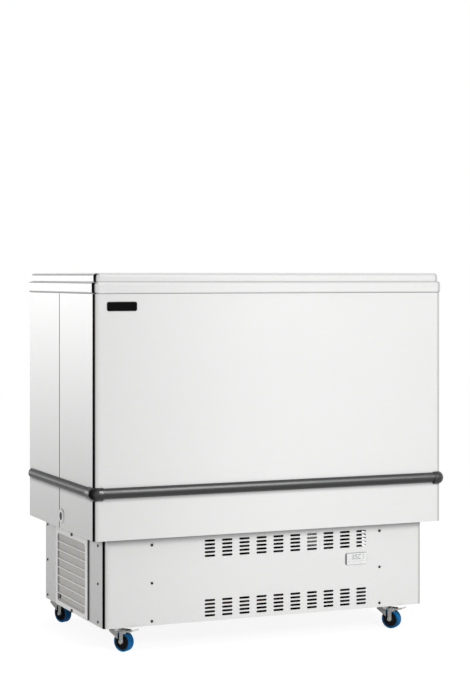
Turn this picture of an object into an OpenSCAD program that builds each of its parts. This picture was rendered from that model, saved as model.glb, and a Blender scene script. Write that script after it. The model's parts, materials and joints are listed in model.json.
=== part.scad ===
// Chest bottle cooler: an insulated tub under two sliding lids, on a set-in machine plinth with casters.
// Millimetres. +Z is up, the front faces -Y, and the origin is on the floor under the body's centre.

/* [Body] */
// Width of the insulated body over its sheets
body_w = 970; // [860:1:1300]
// Depth of the insulated body over its sheets
body_d = 551; // [510:1:680]
// Height of the insulated body
body_h = 606; // [460:1:760]
// Radius of the body's upright corners
corner_r = 12; // [8:0.5:18]
// Thickness of the outer sheets
sheet_t = 1; // [0.8:0.1:1.4]
// Gap between the front and rear sheets at mid depth
seam_gap = 3; // [1:0.1:4]
// Depth of the folds that turn inwards at that gap
seam_fold = 12; // [8:1:18]
// Thickness of the insulated wall
wall_t = 55; // [52:1:68]
// Thickness of the insulated floor
floor_t = 60; // [54:1:90]
// Radius of the tub's upright corners
tub_corner_r = 30; // [20:1:45]
// Radius where the tub's walls meet its floor
tub_floor_r = 12; // [8:1:18]
// Thickness of the tub's sheet
liner_t = 1; // [0.8:0.1:1.5]

/* [Rim] */
// Height of the rim's lower step
rim_low_h = 30; // [23:1:34]
// How far the lower step stands proud of the body
rim_low_out = 2.5; // [1.5:0.1:4]
// Edge radius along the top of the lower step
rim_low_top_r = 7; // [3:0.5:8]
// Edge radius along the bottom of the lower step
rim_low_bottom_r = 5; // [2:0.5:6]
// Height of the rim's upper step
rim_up_h = 22; // [19:1:30]
// How far the upper step is set in from the body
rim_up_in = 3.7; // [2:0.1:6]
// Edge radius along the top of the upper step
rim_up_top_r = 10; // [5:0.5:10]
// Radius of the upper step's upright corners
rim_up_corner_r = 12.5; // [12.5:0.5:18]
// Width of the rim, from the body's face to its inner wall
rim_w = 31; // [28:1:34]
// Wall thickness of the rim profiles
rim_t = 2; // [1.5:0.1:2.5]

/* [Lids] */
// Thickness of a lid
lid_t = 15; // [12:0.5:16]
// How far the two lids lap over each other in the middle
lid_lap = 30; // [20:1:50]
// Thickness of the track's walls and shelves
track_t = 2; // [1.5:0.1:2.5]
// How far the track's shelves reach under and over the lids
track_reach = 17; // [12:0.5:18]
// How far the tub's flange lies above the body's top edge
flange_rise = 6; // [4:0.5:7]
// Width of a lid's frame bars
lid_frame_w = 22; // [19:1:28]
// Width of the frame bar that holds the finger cup
grip_bar_w = 40; // [34:1:50]
// Length of the finger cup
grip_l = 100; // [80:1:140]
// Width of the finger cup
grip_w = 24; // [20:1:28]
// Depth of the finger cup
grip_depth = 9; // [7:0.5:9.5]
// Width of the ledge that the lid panel rests on
lid_ledge = 6; // [4:0.5:9]
// Gap between a lid and each track face
run_gap = 0.3; // [0.3:0.05:0.5]

/* [Bumper] */
// Height of the bumper's middle above the body's bottom edge
bumper_rise = 116.5; // [100:0.5:300]
// Height of the straight bars
bumper_h = 26; // [20:0.5:30]
// How far the bars stand out
bumper_out = 9.5; // [7:0.5:10]
// Height of the moulded corners
bumper_corner_h = 33; // [31:0.5:40]
// How far the moulded corners stand out
bumper_corner_out = 11; // [10.5:0.5:14]
// How far the moulded corners' middle lies below that of the bars
bumper_corner_drop = 1.5; // [0:0.5:3]
// Length of a moulded corner along the front, past the body's rounded corner
bumper_front_arm = 11; // [8:0.5:40]
// Length of a moulded corner along the side, past the body's rounded corner
bumper_side_arm = 26; // [8:0.5:60]
// Distance from the body's rear corners to the ends of the bars
bumper_rear_in = 28; // [14:1:60]

/* [Plate and drain] */
// Width of the blank plate on the front
badge_w = 77.5; // [40:0.5:100]
// Height of the plate
badge_h = 22; // [12:0.5:30]
// Thickness of the plate
badge_t = 1.5; // [0.8:0.1:2.5]
// Corner radius of the plate
badge_r = 4; // [2:0.5:5]
// Distance from the body's left side to the plate
badge_in = 34.5; // [20:0.5:120]
// Distance from the body's top edge down to the plate's middle
badge_drop = 31; // [20:0.5:80]
// Diameter of the drain's outer ring
drain_ring_d = 35; // [31:0.5:36]
// Diameter of the recess that holds the stopper's head
drain_recess_d = 22; // [18:0.5:26]
// Outer diameter of the drain tube
drain_tube_d = 24; // [22:0.5:27]
// Bore of the drain tube
drain_bore_d = 20; // [18:0.5:20.5]
// Height of the drain above the body's bottom edge
drain_rise = 32.5; // [22:0.5:33]
// Distance of the drain in front of mid depth
drain_front = 20; // [20:0.5:60]
// Distance of the tub's drain hole from its left wall
drain_hole_in = 45; // [30:1:90]

/* [Plinth] */
// Height of the plinth
plinth_h = 223; // [217:1:260]
// How far the plinth is set in at each side
plinth_side_in = 38; // [20:1:60]
// How far the plinth is set in at the front
plinth_front_in = 36; // [20:1:50]
// How far the plinth is set in at the back
plinth_rear_in = 24; // [16:1:36]
// Thickness of the welded frame's steel
frame_t = 2; // [1.5:0.1:2.5]
// Height of the tray's upturned edge
tray_edge_h = 10; // [9:0.5:18]
// Length of each leg of the corner posts
post_leg = 60; // [52:1:70]
// Width of the flat uprights
upright_w = 30; // [24:1:36]
// Distance from the plinth's side to the front and back screws
front_screw_in = 127; // [100:1:200]
// Distance from the plinth's front to the screws of its side returns
side_screw_front_in = 43.5; // [20:0.5:48]
// Distance from the plinth's back to the screws of its side returns
side_screw_rear_in = 28; // [20:0.5:48]
// Height of the lowest screws above the plinth's bottom edge
screw_rise = 11; // [9:0.5:12]
// Upright distance between screws
screw_pitch = 95; // [80:0.5:98]
// Diameter of the screw heads
screw_head_d = 6; // [5:0.5:8]
// Diameter of the screw shanks
screw_d = 3; // [2.5:0.5:4]

/* [Ventilation slots] */
// Length of a slot
slot_l = 28.8; // [20:0.1:38]
// Height of a slot
slot_h = 5.6; // [3:0.1:6]
// Sideways distance between slots
slot_pitch_x = 47.7; // [42:0.1:49]
// Upright distance between slots
slot_pitch_z = 9.6; // [8:0.1:10]
// Slots across the front bank
slot_columns = 10; // [4:1:10]
// Slots up each bank
slot_rows = 5; // [2:1:6]
// Distance of the first column left of the middle
slot_first_left = 163.3; // [120:0.1:175]
// Distance from the plinth's top edge to the highest slots
slot_top_drop = 19.6; // [14:0.1:26]
// Distance from the plinth's bottom edge to the lowest slots
slot_bottom_rise = 14.1; // [10:0.1:26]

/* [Grille] */
// Distance from the plinth's front to the side covers
cover_front_in = 114.5; // [110:0.5:130]
// Width of a side cover
cover_w = 264; // [250:0.5:275]
// How far a side cover stands proud of the plinth
cover_out = 5; // [4:0.5:8]
// Edge radius of a side cover
cover_edge_r = 4; // [2:0.5:4.5]
// Gap between a side cover and the sheets beside it
cover_gap = 1.5; // [1:0.5:4]
// Width of the opening in the left cover
grille_w = 228.3; // [190:0.1:230]
// Height of the opening in the left cover
grille_h = 179; // [165:0.5:182]
// Distance from the cover's front edge to the opening
grille_front_in = 16; // [14:0.5:22]
// Distance from the plinth's bottom edge to the opening
grille_rise = 14.4; // [14:0.1:22]
// Corner radius of the opening
grille_r = 10; // [4:0.5:16]
// Bars across the opening
grille_bars = 7; // [3:1:9]
// Height of a bar
bar_h = 2.5; // [2:0.5:5]
// Thickness of a bar, across the panel
bar_t = 1.5; // [1:0.1:1.8]
// Upright distance between bars
bar_pitch = 22.7; // [18:0.1:23]
// Distance from the opening's bottom to the lowest bar's middle
bar_first_rise = 20.4; // [10:0.1:24]
// Diameter of the cover's black fixings
knob_d = 9; // [7:0.5:10]
// Distance of these fixings in front of the opening's middle
knob_front = 9; // [0:0.5:60]
// Height of the lower fixing above the plinth's bottom edge
knob_rise = 6.5; // [6:0.1:7]
// How far the filter laps behind the opening's edge
filter_lap = 4; // [3:0.1:4.6]
// Width of the filter's finger hole
finger_w = 17; // [12:0.5:20]
// Height of the filter's finger hole
finger_h = 16; // [12:0.5:20]

/* [Thermostat] */
// Width of the thermostat's front
thermo_w = 60; // [54:0.5:76]
// Height of the thermostat's front
thermo_h = 29.3; // [28:0.1:36]
// How far the thermostat's front stands out
thermo_out = 2.5; // [2:0.1:4]
// Depth of the thermostat behind the sheet
thermo_depth = 52; // [40:1:70]
// Distance from the plinth's right side to the thermostat's middle
thermo_side_in = 196.5; // [165:0.5:260]
// Height of the thermostat's middle above the plinth's bottom edge
thermo_rise = 132; // [90:0.5:140]
// Height of the display window
window_h = 14; // [10:0.5:16]
// Width of a key
key_w = 13; // [9:0.5:14]
// Height of a key
key_h = 5; // [4:0.5:6]
// How far a key can be pressed
key_travel = 0.8; // [0.5:0.1:1.2]

/* [Refrigeration] */
// Depth of the condenser, along the air's way
condenser_depth = 56; // [40:1:70]
// Fins of the condenser
fin_count = 22; // [8:1:26]
// Diameter of the fan's blades
fan_d = 156; // [120:1:160]
// Blades of the fan
fan_blade_count = 5; // [3:1:7]
// Diameter of the fan motor
motor_d = 56; // [40:1:64]
// Length of the fan motor
motor_l = 46; // [30:1:60]
// Radius of the compressor's rounded body
compressor_r = 62; // [50:1:66]
// Distance between the compressor's two round ends
compressor_span = 52; // [30:1:70]
// Height of the compressor's rubber mounts
mount_h = 16; // [12:1:20]
// Distance from the plinth's right side to the compressor's middle
compressor_side_in = 290; // [250:1:330]
// Diameter of the copper pipes
pipe_d = 8; // [6:0.5:9]
// Turns of pipe round the tub
coil_turns = 5; // [3:1:8]
// Upright distance between turns
coil_pitch = 70; // [30:1:75]
// Height of the lowest turn above the tub's floor
coil_rise = 110; // [60:1:130]

/* [Mains inlet] */
// Distance from the plinth's right side to the inlet's middle
inlet_side_in = 190; // [170:1:240]
// Height of the inlet's middle above the plinth's bottom edge
inlet_rise = 40; // [32:1:44]
// Width of the inlet's flange
inlet_w = 50; // [44:0.5:60]
// Height of the inlet's flange
inlet_h = 28; // [26:0.5:34]

/* [Casters] */
// Height from the floor to the plinth's bottom edge
caster_h = 63; // [62:0.5:72]
// Diameter of the wheels
wheel_d = 50; // [40:0.5:50.5]
// Width of the tyres
wheel_w = 19; // [16:0.5:24]
// Thickness of the tyres
tyre_t = 5; // [3:0.5:7]
// Distance from the swivel axis to the axle
trail = 22; // [20:0.5:26]
// Diameter of the axle
axle_d = 6; // [5:0.5:8]
// Side of the square top plates
plate_w = 46; // [42:1:50]
// Diameter of the ball race
race_d = 38; // [34:1:40]
// Distance from the plinth's front to the front casters' swivel axes
caster_front_in = 42; // [30:1:80]
// Distance from the plinth's back to the rear casters' swivel axes
caster_rear_in = 24; // [24:1:80]
// Distance from the plinth's left side to the front left swivel axis
caster_left_in = 49; // [32:1:120]
// Distance from the plinth's right side to the front right swivel axis
caster_right_in = 91; // [32:1:120]
// Distance from the plinth's sides to the rear swivel axes
caster_back_side_in = 29; // [26:1:120]
// Turn of the front left wheel's face, from the front towards the left
turn_front_left = 56; // [0:1:359]
// Turn of the front right wheel's face
turn_front_right = 54; // [0:1:359]
// Turn of the rear left wheel's face
turn_rear_left = 66; // [0:1:359]
// Turn of the rear right wheel's face
turn_rear_right = 62; // [0:1:359]

/* [Hidden] */
$fn = 48;

// Clearance between fixed pieces that fit inside one another
seat_gap = 0.2;
// Clearance between the foam and the sheets and pipes that it fills up to
foam_gap = 0.6;
// Radial clearance of a turning fit
turn_gap = 0.05;
// Clearance between pieces that move past each other
move_gap = 0.3;
// Small overshoot that lets a cut pass right through
cut = 1;

plinth_z0 = caster_h;
body_z0 = plinth_z0 + plinth_h;
body_z1 = body_z0 + body_h;
rim_z1 = body_z1 + rim_low_h;
top_z = rim_z1 + rim_up_h;

// Tub and its flange
tub_w = body_w - 2 * wall_t;
tub_d = body_d - 2 * wall_t;
tub_floor_z = body_z0 + floor_t;
flange_z = body_z1 + flange_rise;

// How far the upper step's wall returns inwards at its bottom
rim_return = 1;

// Lid levels, stacked from the tub's flange
hatch_w = body_w - 2 * rim_w;
hatch_d = body_d - 2 * rim_w;
low_lid_z = flange_z + track_t + run_gap;
mid_shelf_z = low_lid_z + lid_t + run_gap;
up_lid_z = mid_shelf_z + track_t + run_gap;
top_shelf_z = up_lid_z + lid_t + run_gap;
end_rail_w = 10;
lid_end_gap = 0.6;
lid_l = hatch_w / 2 - lid_end_gap + lid_lap / 2;
lid_d = hatch_d - 2 * (seat_gap + track_t + move_gap);
lid_x = hatch_w / 2 - lid_end_gap - lid_l / 2;
lid_bottom_t = 2;

// Plinth's footprint
plinth_w = body_w - 2 * plinth_side_in;
plinth_y0 = -body_d / 2 + plinth_front_in;
plinth_y1 = body_d / 2 - plinth_rear_in;
plinth_d = plinth_y1 - plinth_y0;
plinth_y = (plinth_y0 + plinth_y1) / 2;
plinth_x1 = plinth_w / 2;
frame_x1 = plinth_x1 - sheet_t - seat_gap;
cover_y0 = plinth_y0 + cover_front_in;
cover_y1 = cover_y0 + cover_w;
cover_lift = 0.5;
grille_y0 = cover_y0 + grille_front_in;
grille_z0 = plinth_z0 + grille_rise;
grille_y = grille_y0 + grille_w / 2;
grille_z = grille_z0 + grille_h / 2;
knob_y = grille_y - knob_front;
knob_low_z = plinth_z0 + knob_rise;
knob_high_z = body_z0 - 19;
knob_shank_d = 4;
knob_head_t = 3;
top_rail_h = 27;
screw_zs = [for (i = [0:2]) plinth_z0 + screw_rise + i * screw_pitch];
screw_grip = 9;
screw_head_h = 1.6;

// Thermostat
thermo_x = plinth_x1 - thermo_side_in;
thermo_z = plinth_z0 + thermo_rise;
thermo_edge = 2.6;
key_strip = thermo_h - window_h - 3 * thermo_edge;
key_z = thermo_z - thermo_h / 2 + thermo_edge + key_strip / 2;
key_pitch = key_w + 4;
key_t = 3;
key_proud = 1;
bezel_lap_x = 2;
bezel_lap_z = 1.2;
cutout_gap = 0.5;
window_in = 4;
window_t = 1;
window_sink = 0.2;

// Refrigeration, behind the left cover
bar_lap = 3;
bar_x0 = -plinth_x1 - cover_out + sheet_t / 2;
filter_x0 = bar_x0 + bar_t + seat_gap;
filter_x1 = -frame_x1 - seat_gap;
filter_edge = 4;
filter_r = 4;
filter_sink = 1.5;
finger_in = 10;
finger_rise = 11.6;
finger_r = 5.5;
condenser_x0 = -frame_x1 + frame_t + seat_gap;
condenser_x1 = condenser_x0 + condenser_depth;
condenser_y0 = grille_y0 - 2;
condenser_l = grille_w + 4;
condenser_z0 = plinth_z0 + frame_t;
condenser_h = grille_h + 12;
fan_y = grille_y;
fan_z = condenser_z0 + condenser_h / 2;
shroud_x0 = condenser_x1 + seat_gap;
shroud_depth = 40;
shroud_t = 2;
shroud_ring_l = 22;
arm_w = 10;
arm_t = 6;
spider_t = 4;
fan_x = shroud_x0 + 14;
fan_hub_d = 34;
fan_hub_l = 20;
fan_tip_gap = 5;
blade_t = 2;
blade_chord = 34;
blade_angle = 35;
blade_root = 3;
motor_x0 = shroud_x0 + shroud_depth;
motor_band_w = 8;
motor_band_out = 4;
shaft_d = 6;
compressor_x = plinth_x1 - compressor_side_in;
compressor_y = plinth_y + 45;
compressor_z0 = plinth_z0 + frame_t + mount_h;
compressor_foot_t = 3;
foot_edge = 16;
belly_sink = 8;
seam_lip = 3;
skirt_in = 22;
compressor_low_z = compressor_z0 + compressor_foot_t + compressor_r - belly_sink;
compressor_high_z = compressor_low_z + 34;
stub_z = compressor_high_z + compressor_r + 6;
stub_wall = 2;
mount_d = 24;
sleeve_d = 13.4;
sleeve_top = 5;
relay_w = 56;
relay_h = 58;
relay_t = 26;
relay_edge = 8;
relay_recess = 2;

tube_rows = 6;
tube_first = 24;
tube_stub = 4;
function tube_z(i) = condenser_z0 + tube_first
    + i * (condenser_h - 2 * tube_first) / (tube_rows - 1);
function tube_x(j) = condenser_x0 + condenser_depth * (j == 0 ? 0.28 : 0.72);

// Pipes
joint_swell = 1.15;
coil_gap = 1;
coil_off = liner_t + coil_gap + pipe_d / 2;
coil_r = tub_corner_r + coil_off;
coil_w = tub_w + 2 * coil_off;
coil_d = tub_d + 2 * coil_off;
coil_z0 = tub_floor_z + coil_rise;
coil_z1 = coil_z0 + (coil_turns - 1) * coil_pitch;
coil_link = 18;
coil_tail_out = pipe_d + 6;
tail_z = body_z0 - 6;
capillary_d = 3;
drier_d = 20;
drier_l = 90;
drier_from_compressor = 190;
riser_from_drier = 18;
pipe_below_body = 14;
suction_drop = 10;
capillary_drop = 18;
discharge_front = 50;
liquid_front = 30;

// Drain
drain_z = body_z0 + drain_rise;
drain_hole_x = -tub_w / 2 + drain_hole_in;
drain_ring_t = 3;
spigot_l = 22;
stopper_d = 15;
stopper_l = 16;
stopper_head_t = 2;

// Mains inlet
inlet_x = plinth_x1 - inlet_side_in;
inlet_z = plinth_z0 + inlet_rise;
inlet_flange_t = 2.5;
inlet_lap_x = 4;
inlet_lap_z = 2;
inlet_depth = 24;
socket_w = 24;
socket_h = 17;
socket_depth = 16;
contact_pitch = 7;
contact_w = 2;
contact_h = 5;

// Casters, each in its own frame: swivel axis at the origin, axle towards +X
wheel_r = wheel_d / 2;
plate_t = 2.5;
race_t = 5.5;
fork_top = caster_h - plate_t - race_t - move_gap;
fork_t = 2.5;
leg_t = 2;
leg_in = wheel_w / 2 + 1.5;
leg_end_r = 5;
leg_slot_w = 6.5;
crown_x0 = 4 - race_d / 2;
crown_h = 5;
gusset_z = 32;
bracket_l = 14;
bracket_h = 7;
kingpin_d = 10;
kingpin_head_t = 2;
kingpin_head_out = 3;
axle_head_t = 2.5;
axle_head_out = 2;
axle_head_gap = 0.1;
hub_boss_t = 4;
hub_web_t = 6;
hub_rim_t = 3;
pedal_pin_d = 3;
pedal_pin = [trail + 8, fork_top - 3];
pedal_t = 2.2;
pedal_neck_l = 8;
pedal_rise_angle = 10;
pedal_tip = trail + 37;
pad_w = 12;
pad_l = 6;
pad_drop = 3.2;
casters = [
    [-plinth_x1 + caster_left_in, plinth_y0 + caster_front_in, turn_front_left],
    [plinth_x1 - caster_right_in, plinth_y0 + caster_front_in, turn_front_right],
    [-plinth_x1 + caster_back_side_in, plinth_y1 - caster_rear_in, turn_rear_left],
    [plinth_x1 - caster_back_side_in, plinth_y1 - caster_rear_in, turn_rear_right]
];

// Shared shapes

// Flat rectangle with round corners, centred
module round_rect(w, d, r) {
    square([w - 2 * r, d], center = true);
    square([w, d - 2 * r], center = true);
    for (x = [-1, 1], y = [-1, 1])
        translate([x * (w / 2 - r), y * (d / 2 - r)])
            circle(r);
}

// Half section of a slab's edge: square inside, rounded outside
module edge_section(r, h, top_r, bottom_r) {
    intersection() {
        square([r, h]);
        union() {
            square([r - top_r, h]);
            square([r - bottom_r, h - top_r]);
            translate([0, bottom_r])
                square([r, h - top_r - bottom_r]);
            translate([r - top_r, h - top_r])
                circle(top_r);
            translate([r - bottom_r, bottom_r])
                circle(bottom_r);
        }
    }
}

// Slab with round upright corners and rounded top and bottom edges, standing on z = 0
module rounded_slab(w, d, h, r, top_r, bottom_r) {
    translate([-w / 2 + r, -d / 2 + r, 0])
        cube([w - 2 * r, d - 2 * r, h]);
    for (side = [0:3]) {
        run = side % 2 == 0 ? w - 2 * r : d - 2 * r;
        half = side % 2 == 0 ? d / 2 - r : w / 2 - r;
        rotate([0, 0, side * 90])
            translate([0, half, 0])
                rotate([90, 0, 90])
                    linear_extrude(run, center = true)
                        edge_section(r, h, top_r, bottom_r);
    }
    for (x = [-1, 1], y = [-1, 1])
        translate([x * (w / 2 - r), y * (d / 2 - r), 0])
            rotate([0, 0, x > 0 ? (y > 0 ? 0 : 270) : (y > 0 ? 90 : 180)])
                rotate_extrude(angle = 90)
                    edge_section(r, h, top_r, bottom_r);
}

// Straight round rod between two points
module rod(p, q, d) {
    v = q - p;
    l = norm(v);
    translate(p)
        rotate([0, acos(v.z / l), atan2(v.y, v.x)])
            cylinder(h = l, d = d);
}

// Pipe along a list of points, with a slightly swollen joint at each bend
module pipe_run(points, d) {
    for (i = [0:len(points) - 2])
        rod(points[i], points[i + 1], d);
    if (len(points) > 2)
        for (i = [1:len(points) - 2])
            translate(points[i])
                sphere(d = d * joint_swell);
}

// Cylinder along X from x0 to x1
module bar_x(x0, x1, y, z, d) {
    translate([x0, y, z])
        rotate([0, 90, 0])
            cylinder(h = x1 - x0, d = d);
}

// Cylinder along Y from y0 to y1
module bar_y(x, y0, y1, z, d) {
    translate([x, y1, z])
        rotate([90, 0, 0])
            cylinder(h = y1 - y0, d = d);
}

// Box given by its two corners
module box(low, high) {
    translate(low)
        cube(high - low);
}

// Upright sheet ring round a footprint
module sheet_ring(w, d, r, t, z0, z1) {
    translate([0, 0, z0])
        linear_extrude(z1 - z0)
            difference() {
                round_rect(w, d, r);
                round_rect(w - 2 * t, d - 2 * t, r - t);
            }
}

// Body

// One of the two U-shaped sheets; side is -1 for the front and 1 for the rear
module wrapper(side) {
    intersection() {
        sheet_ring(body_w, body_d, corner_r, sheet_t, body_z0, body_z1);
        box([-body_w, side > 0 ? seam_gap / 2 : -body_d, body_z0 - cut],
            [body_w, side > 0 ? body_d : -seam_gap / 2, body_z1 + cut]);
    }
    for (x = [-1, 1])
        translate([x * (body_w / 2 - (sheet_t + seam_fold) / 2),
                   side * (seam_gap + sheet_t) / 2, (body_z0 + body_z1) / 2])
            cube([sheet_t + seam_fold, sheet_t, body_h], center = true);
}

module front_wrapper() {
    color("gainsboro")
        difference() {
            wrapper(-1);
            bar_x(-body_w / 2 - cut, -body_w / 2 + sheet_t + cut, -drain_front, drain_z,
                  drain_tube_d + 2 * seat_gap);
        }
}

module rear_wrapper() {
    color("gainsboro") wrapper(1);
}

// Points of the two pipe tails that leave the coil at the back
tail_low = [[coil_link, coil_d / 2, coil_z0], [coil_link, coil_d / 2, tail_z]];
tail_high = [
    [-coil_link, coil_d / 2, coil_z1],
    [-coil_link, coil_d / 2 + coil_tail_out, coil_z1],
    [-coil_link, coil_d / 2 + coil_tail_out, tail_z]
];

module bottom_pan() {
    color("silver")
        difference() {
            translate([0, 0, body_z0])
                linear_extrude(sheet_t)
                    round_rect(body_w - 2 * (sheet_t + seat_gap), body_d - 2 * (sheet_t + seat_gap),
                               corner_r - sheet_t - seat_gap);
            for (x = [-1, 1])
                translate([x * (body_w / 2 - seam_fold / 2), 0, body_z0])
                    cube([seam_fold + 2 * (sheet_t + seat_gap), seam_gap + 2 * (sheet_t + seat_gap),
                          4 * sheet_t], center = true);
            for (tail = [tail_low[1], tail_high[2]])
                translate([tail.x, tail.y, body_z0 - cut])
                    cylinder(h = sheet_t + 2 * cut, d = pipe_d + 2 * seat_gap);
        }
}

module insulation_foam() {
    inset = sheet_t + foam_gap;
    lining = liner_t + foam_gap;
    band = coil_off + pipe_d * joint_swell / 2 + foam_gap;
    foam_top = rim_z1 - max(rim_t, rim_low_top_r) - foam_gap;
    inner_top = flange_z - liner_t - foam_gap;
    color("khaki")
        difference() {
            translate([0, 0, body_z0 + sheet_t])
                linear_extrude(foam_top - body_z0 - sheet_t)
                    round_rect(body_w - 2 * inset, body_d - 2 * inset, corner_r - inset);
            // tub
            translate([0, 0, tub_floor_z - lining])
                rounded_slab(tub_w + 2 * lining, tub_d + 2 * lining, body_h,
                             tub_corner_r + lining, 1, tub_floor_r + lining);
            // space inside the rim's inner wall
            translate([0, 0, inner_top])
                linear_extrude(body_h)
                    square([hatch_w, hatch_d], center = true);
            // slot for the rim's inner wall
            translate([0, 0, body_z1 - foam_gap])
                linear_extrude(body_h)
                    difference() {
                        square([hatch_w + 2 * (rim_t + foam_gap), hatch_d + 2 * (rim_t + foam_gap)],
                               center = true);
                        square([hatch_w - 2 * foam_gap, hatch_d - 2 * foam_gap], center = true);
                    }
            // band that the pipe turns lie in
            translate([0, 0, coil_z0 - pipe_d])
                linear_extrude(coil_z1 - coil_z0 + 2 * pipe_d)
                    round_rect(tub_w + 2 * band, tub_d + 2 * band, tub_corner_r + band);
            pipe_run(tail_low, pipe_d * joint_swell + 2 * foam_gap);
            pipe_run(tail_high, pipe_d * joint_swell + 2 * foam_gap);
            // folds at the side seams
            for (x = [-1, 1])
                translate([x * body_w / 2, 0, 0])
                    box([-sheet_t - seam_fold - foam_gap, -seam_gap / 2 - sheet_t - foam_gap, 0],
                        [sheet_t + seam_fold + foam_gap, seam_gap / 2 + sheet_t + foam_gap,
                         body_z1 + foam_gap]);
            pipe_run(drain_points(), drain_tube_d + 2 * foam_gap);
        }
}

// One turn of pipe round the tub, open at the back
module coil_turn() {
    run_w = coil_w - 2 * coil_r;
    run_d = coil_d - 2 * coil_r;
    bar_x(-run_w / 2, run_w / 2, -coil_d / 2, 0, pipe_d);
    for (x = [-1, 1]) {
        bar_y(x * coil_w / 2, -run_d / 2, run_d / 2, 0, pipe_d);
        bar_x(min(x * coil_link, x * run_w / 2), max(x * coil_link, x * run_w / 2),
              coil_d / 2, 0, pipe_d);
        for (y = [-1, 1])
            translate([x * run_w / 2, y * run_d / 2, 0])
                rotate([0, 0, x > 0 ? (y > 0 ? 0 : 270) : (y > 0 ? 90 : 180)])
                    rotate_extrude(angle = 90)
                        translate([coil_r, 0])
                            circle(d = pipe_d);
    }
}

module evaporator_coil() {
    color("peru") {
        for (i = [0:coil_turns - 1])
            translate([0, 0, coil_z0 + i * coil_pitch])
                coil_turn();
        for (i = [0:coil_turns - 2]) {
            low = [-coil_link, coil_d / 2, coil_z0 + i * coil_pitch];
            high = [coil_link, coil_d / 2, coil_z0 + (i + 1) * coil_pitch];
            rod(low, high, pipe_d);
            for (end = [low, high])
                translate(end)
                    sphere(d = pipe_d * joint_swell);
        }
        pipe_run(tail_low, pipe_d);
        pipe_run(tail_high, pipe_d);
        for (end = [tail_low[0], tail_high[0]])
            translate(end)
                sphere(d = pipe_d * joint_swell);
    }
}

module inner_liner() {
    color("gainsboro")
        difference() {
            union() {
                translate([0, 0, tub_floor_z - liner_t])
                    rounded_slab(tub_w + 2 * liner_t, tub_d + 2 * liner_t,
                                 flange_z - tub_floor_z + liner_t + cut,
                                 tub_corner_r + liner_t, 0.5, tub_floor_r + liner_t);
                translate([0, 0, flange_z - liner_t])
                    linear_extrude(liner_t)
                        square([hatch_w - 2 * seat_gap, hatch_d - 2 * seat_gap], center = true);
            }
            translate([0, 0, tub_floor_z])
                rounded_slab(tub_w, tub_d, body_h, tub_corner_r, 1, tub_floor_r);
            translate([0, 0, flange_z])
                linear_extrude(body_h)
                    square([body_w, body_d], center = true);
            translate([drain_hole_x, -drain_front, tub_floor_z - liner_t - cut])
                cylinder(h = liner_t + 2 * cut, d = drain_bore_d);
        }
}

// Rim

// Hollow step of the rim over the hatch, open underneath inside a footprint that stands out by foot
module rim_step(out, r, z0, h, top_r, bottom_r, foot) {
    w = body_w + 2 * out;
    d = body_d + 2 * out;
    difference() {
        translate([0, 0, z0])
            rounded_slab(w, d, h, r, top_r, bottom_r);
        translate([0, 0, z0 - cut])
            linear_extrude(h + 2 * cut)
                square([hatch_w, hatch_d], center = true);
        difference() {
            union() {
                translate([0, 0, z0 + rim_t])
                    rounded_slab(w - 2 * rim_t, d - 2 * rim_t, h - 2 * rim_t, r - rim_t,
                                 max(top_r - rim_t, 0.5), 0.5);
                translate([0, 0, z0 - cut])
                    linear_extrude(rim_t + 2 * cut)
                        round_rect(body_w + 2 * foot, body_d + 2 * foot, r - out + foot);
            }
            translate([0, 0, z0 - 2 * cut])
                linear_extrude(h + 4 * cut)
                    square([hatch_w + 2 * rim_t, hatch_d + 2 * rim_t], center = true);
        }
    }
}

module rim_lower() {
    color("gainsboro")
        rim_step(rim_low_out, corner_r + rim_low_out, body_z1, rim_low_h, rim_low_top_r,
                 rim_low_bottom_r, seat_gap);
}

module rim_upper() {
    color("gainsboro")
        rim_step(-rim_up_in, rim_up_corner_r, rim_z1, rim_up_h, rim_up_top_r, 0.5,
                 -rim_up_in - rim_t - rim_return);
}

// Section of the double track, from its back wall towards the hatch
module track_section() {
    square([track_t, top_shelf_z + track_t - flange_z]);
    for (z = [flange_z, mid_shelf_z, top_shelf_z])
        translate([0, z - flange_z])
            square([track_t + track_reach, track_t]);
}

module lid_tracks() {
    run = hatch_w - 2 * seat_gap;
    color("dimgray") {
        for (side = [0, 180])
            rotate([0, 0, side])
                translate([0, -hatch_d / 2 + seat_gap, flange_z])
                    rotate([90, 0, 90])
                        linear_extrude(run, center = true)
                            track_section();
        end_d = hatch_d - 2 * (2 * seat_gap + track_t + track_reach);
        translate([-hatch_w / 2 + seat_gap, -end_d / 2, flange_z])
            cube([end_rail_w, end_d, up_lid_z - move_gap - flange_z]);
        translate([hatch_w / 2 - seat_gap - end_rail_w, -end_d / 2, flange_z])
            cube([end_rail_w, end_d, track_t]);
    }
}

// Lids: side is -1 for the left lid in the upper track and 1 for the right lid in the lower one

function lid_z(side) = side < 0 ? up_lid_z : low_lid_z;

// Middle of the lid's panel, which is set off from the wide grip bar
function panel_x(side) = side * (lid_x - (grip_bar_w - lid_frame_w) / 2);

panel_w = lid_l - grip_bar_w - lid_frame_w;
panel_d = lid_d - 2 * lid_frame_w;

module lid_panel(side) {
    color("gainsboro")
        translate([panel_x(side), 0, lid_z(side) + lid_bottom_t + seat_gap])
            linear_extrude(lid_t - lid_bottom_t - seat_gap - 0.5)
                round_rect(panel_w - 2 * seat_gap, panel_d - 2 * seat_gap, 3);
}

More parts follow.
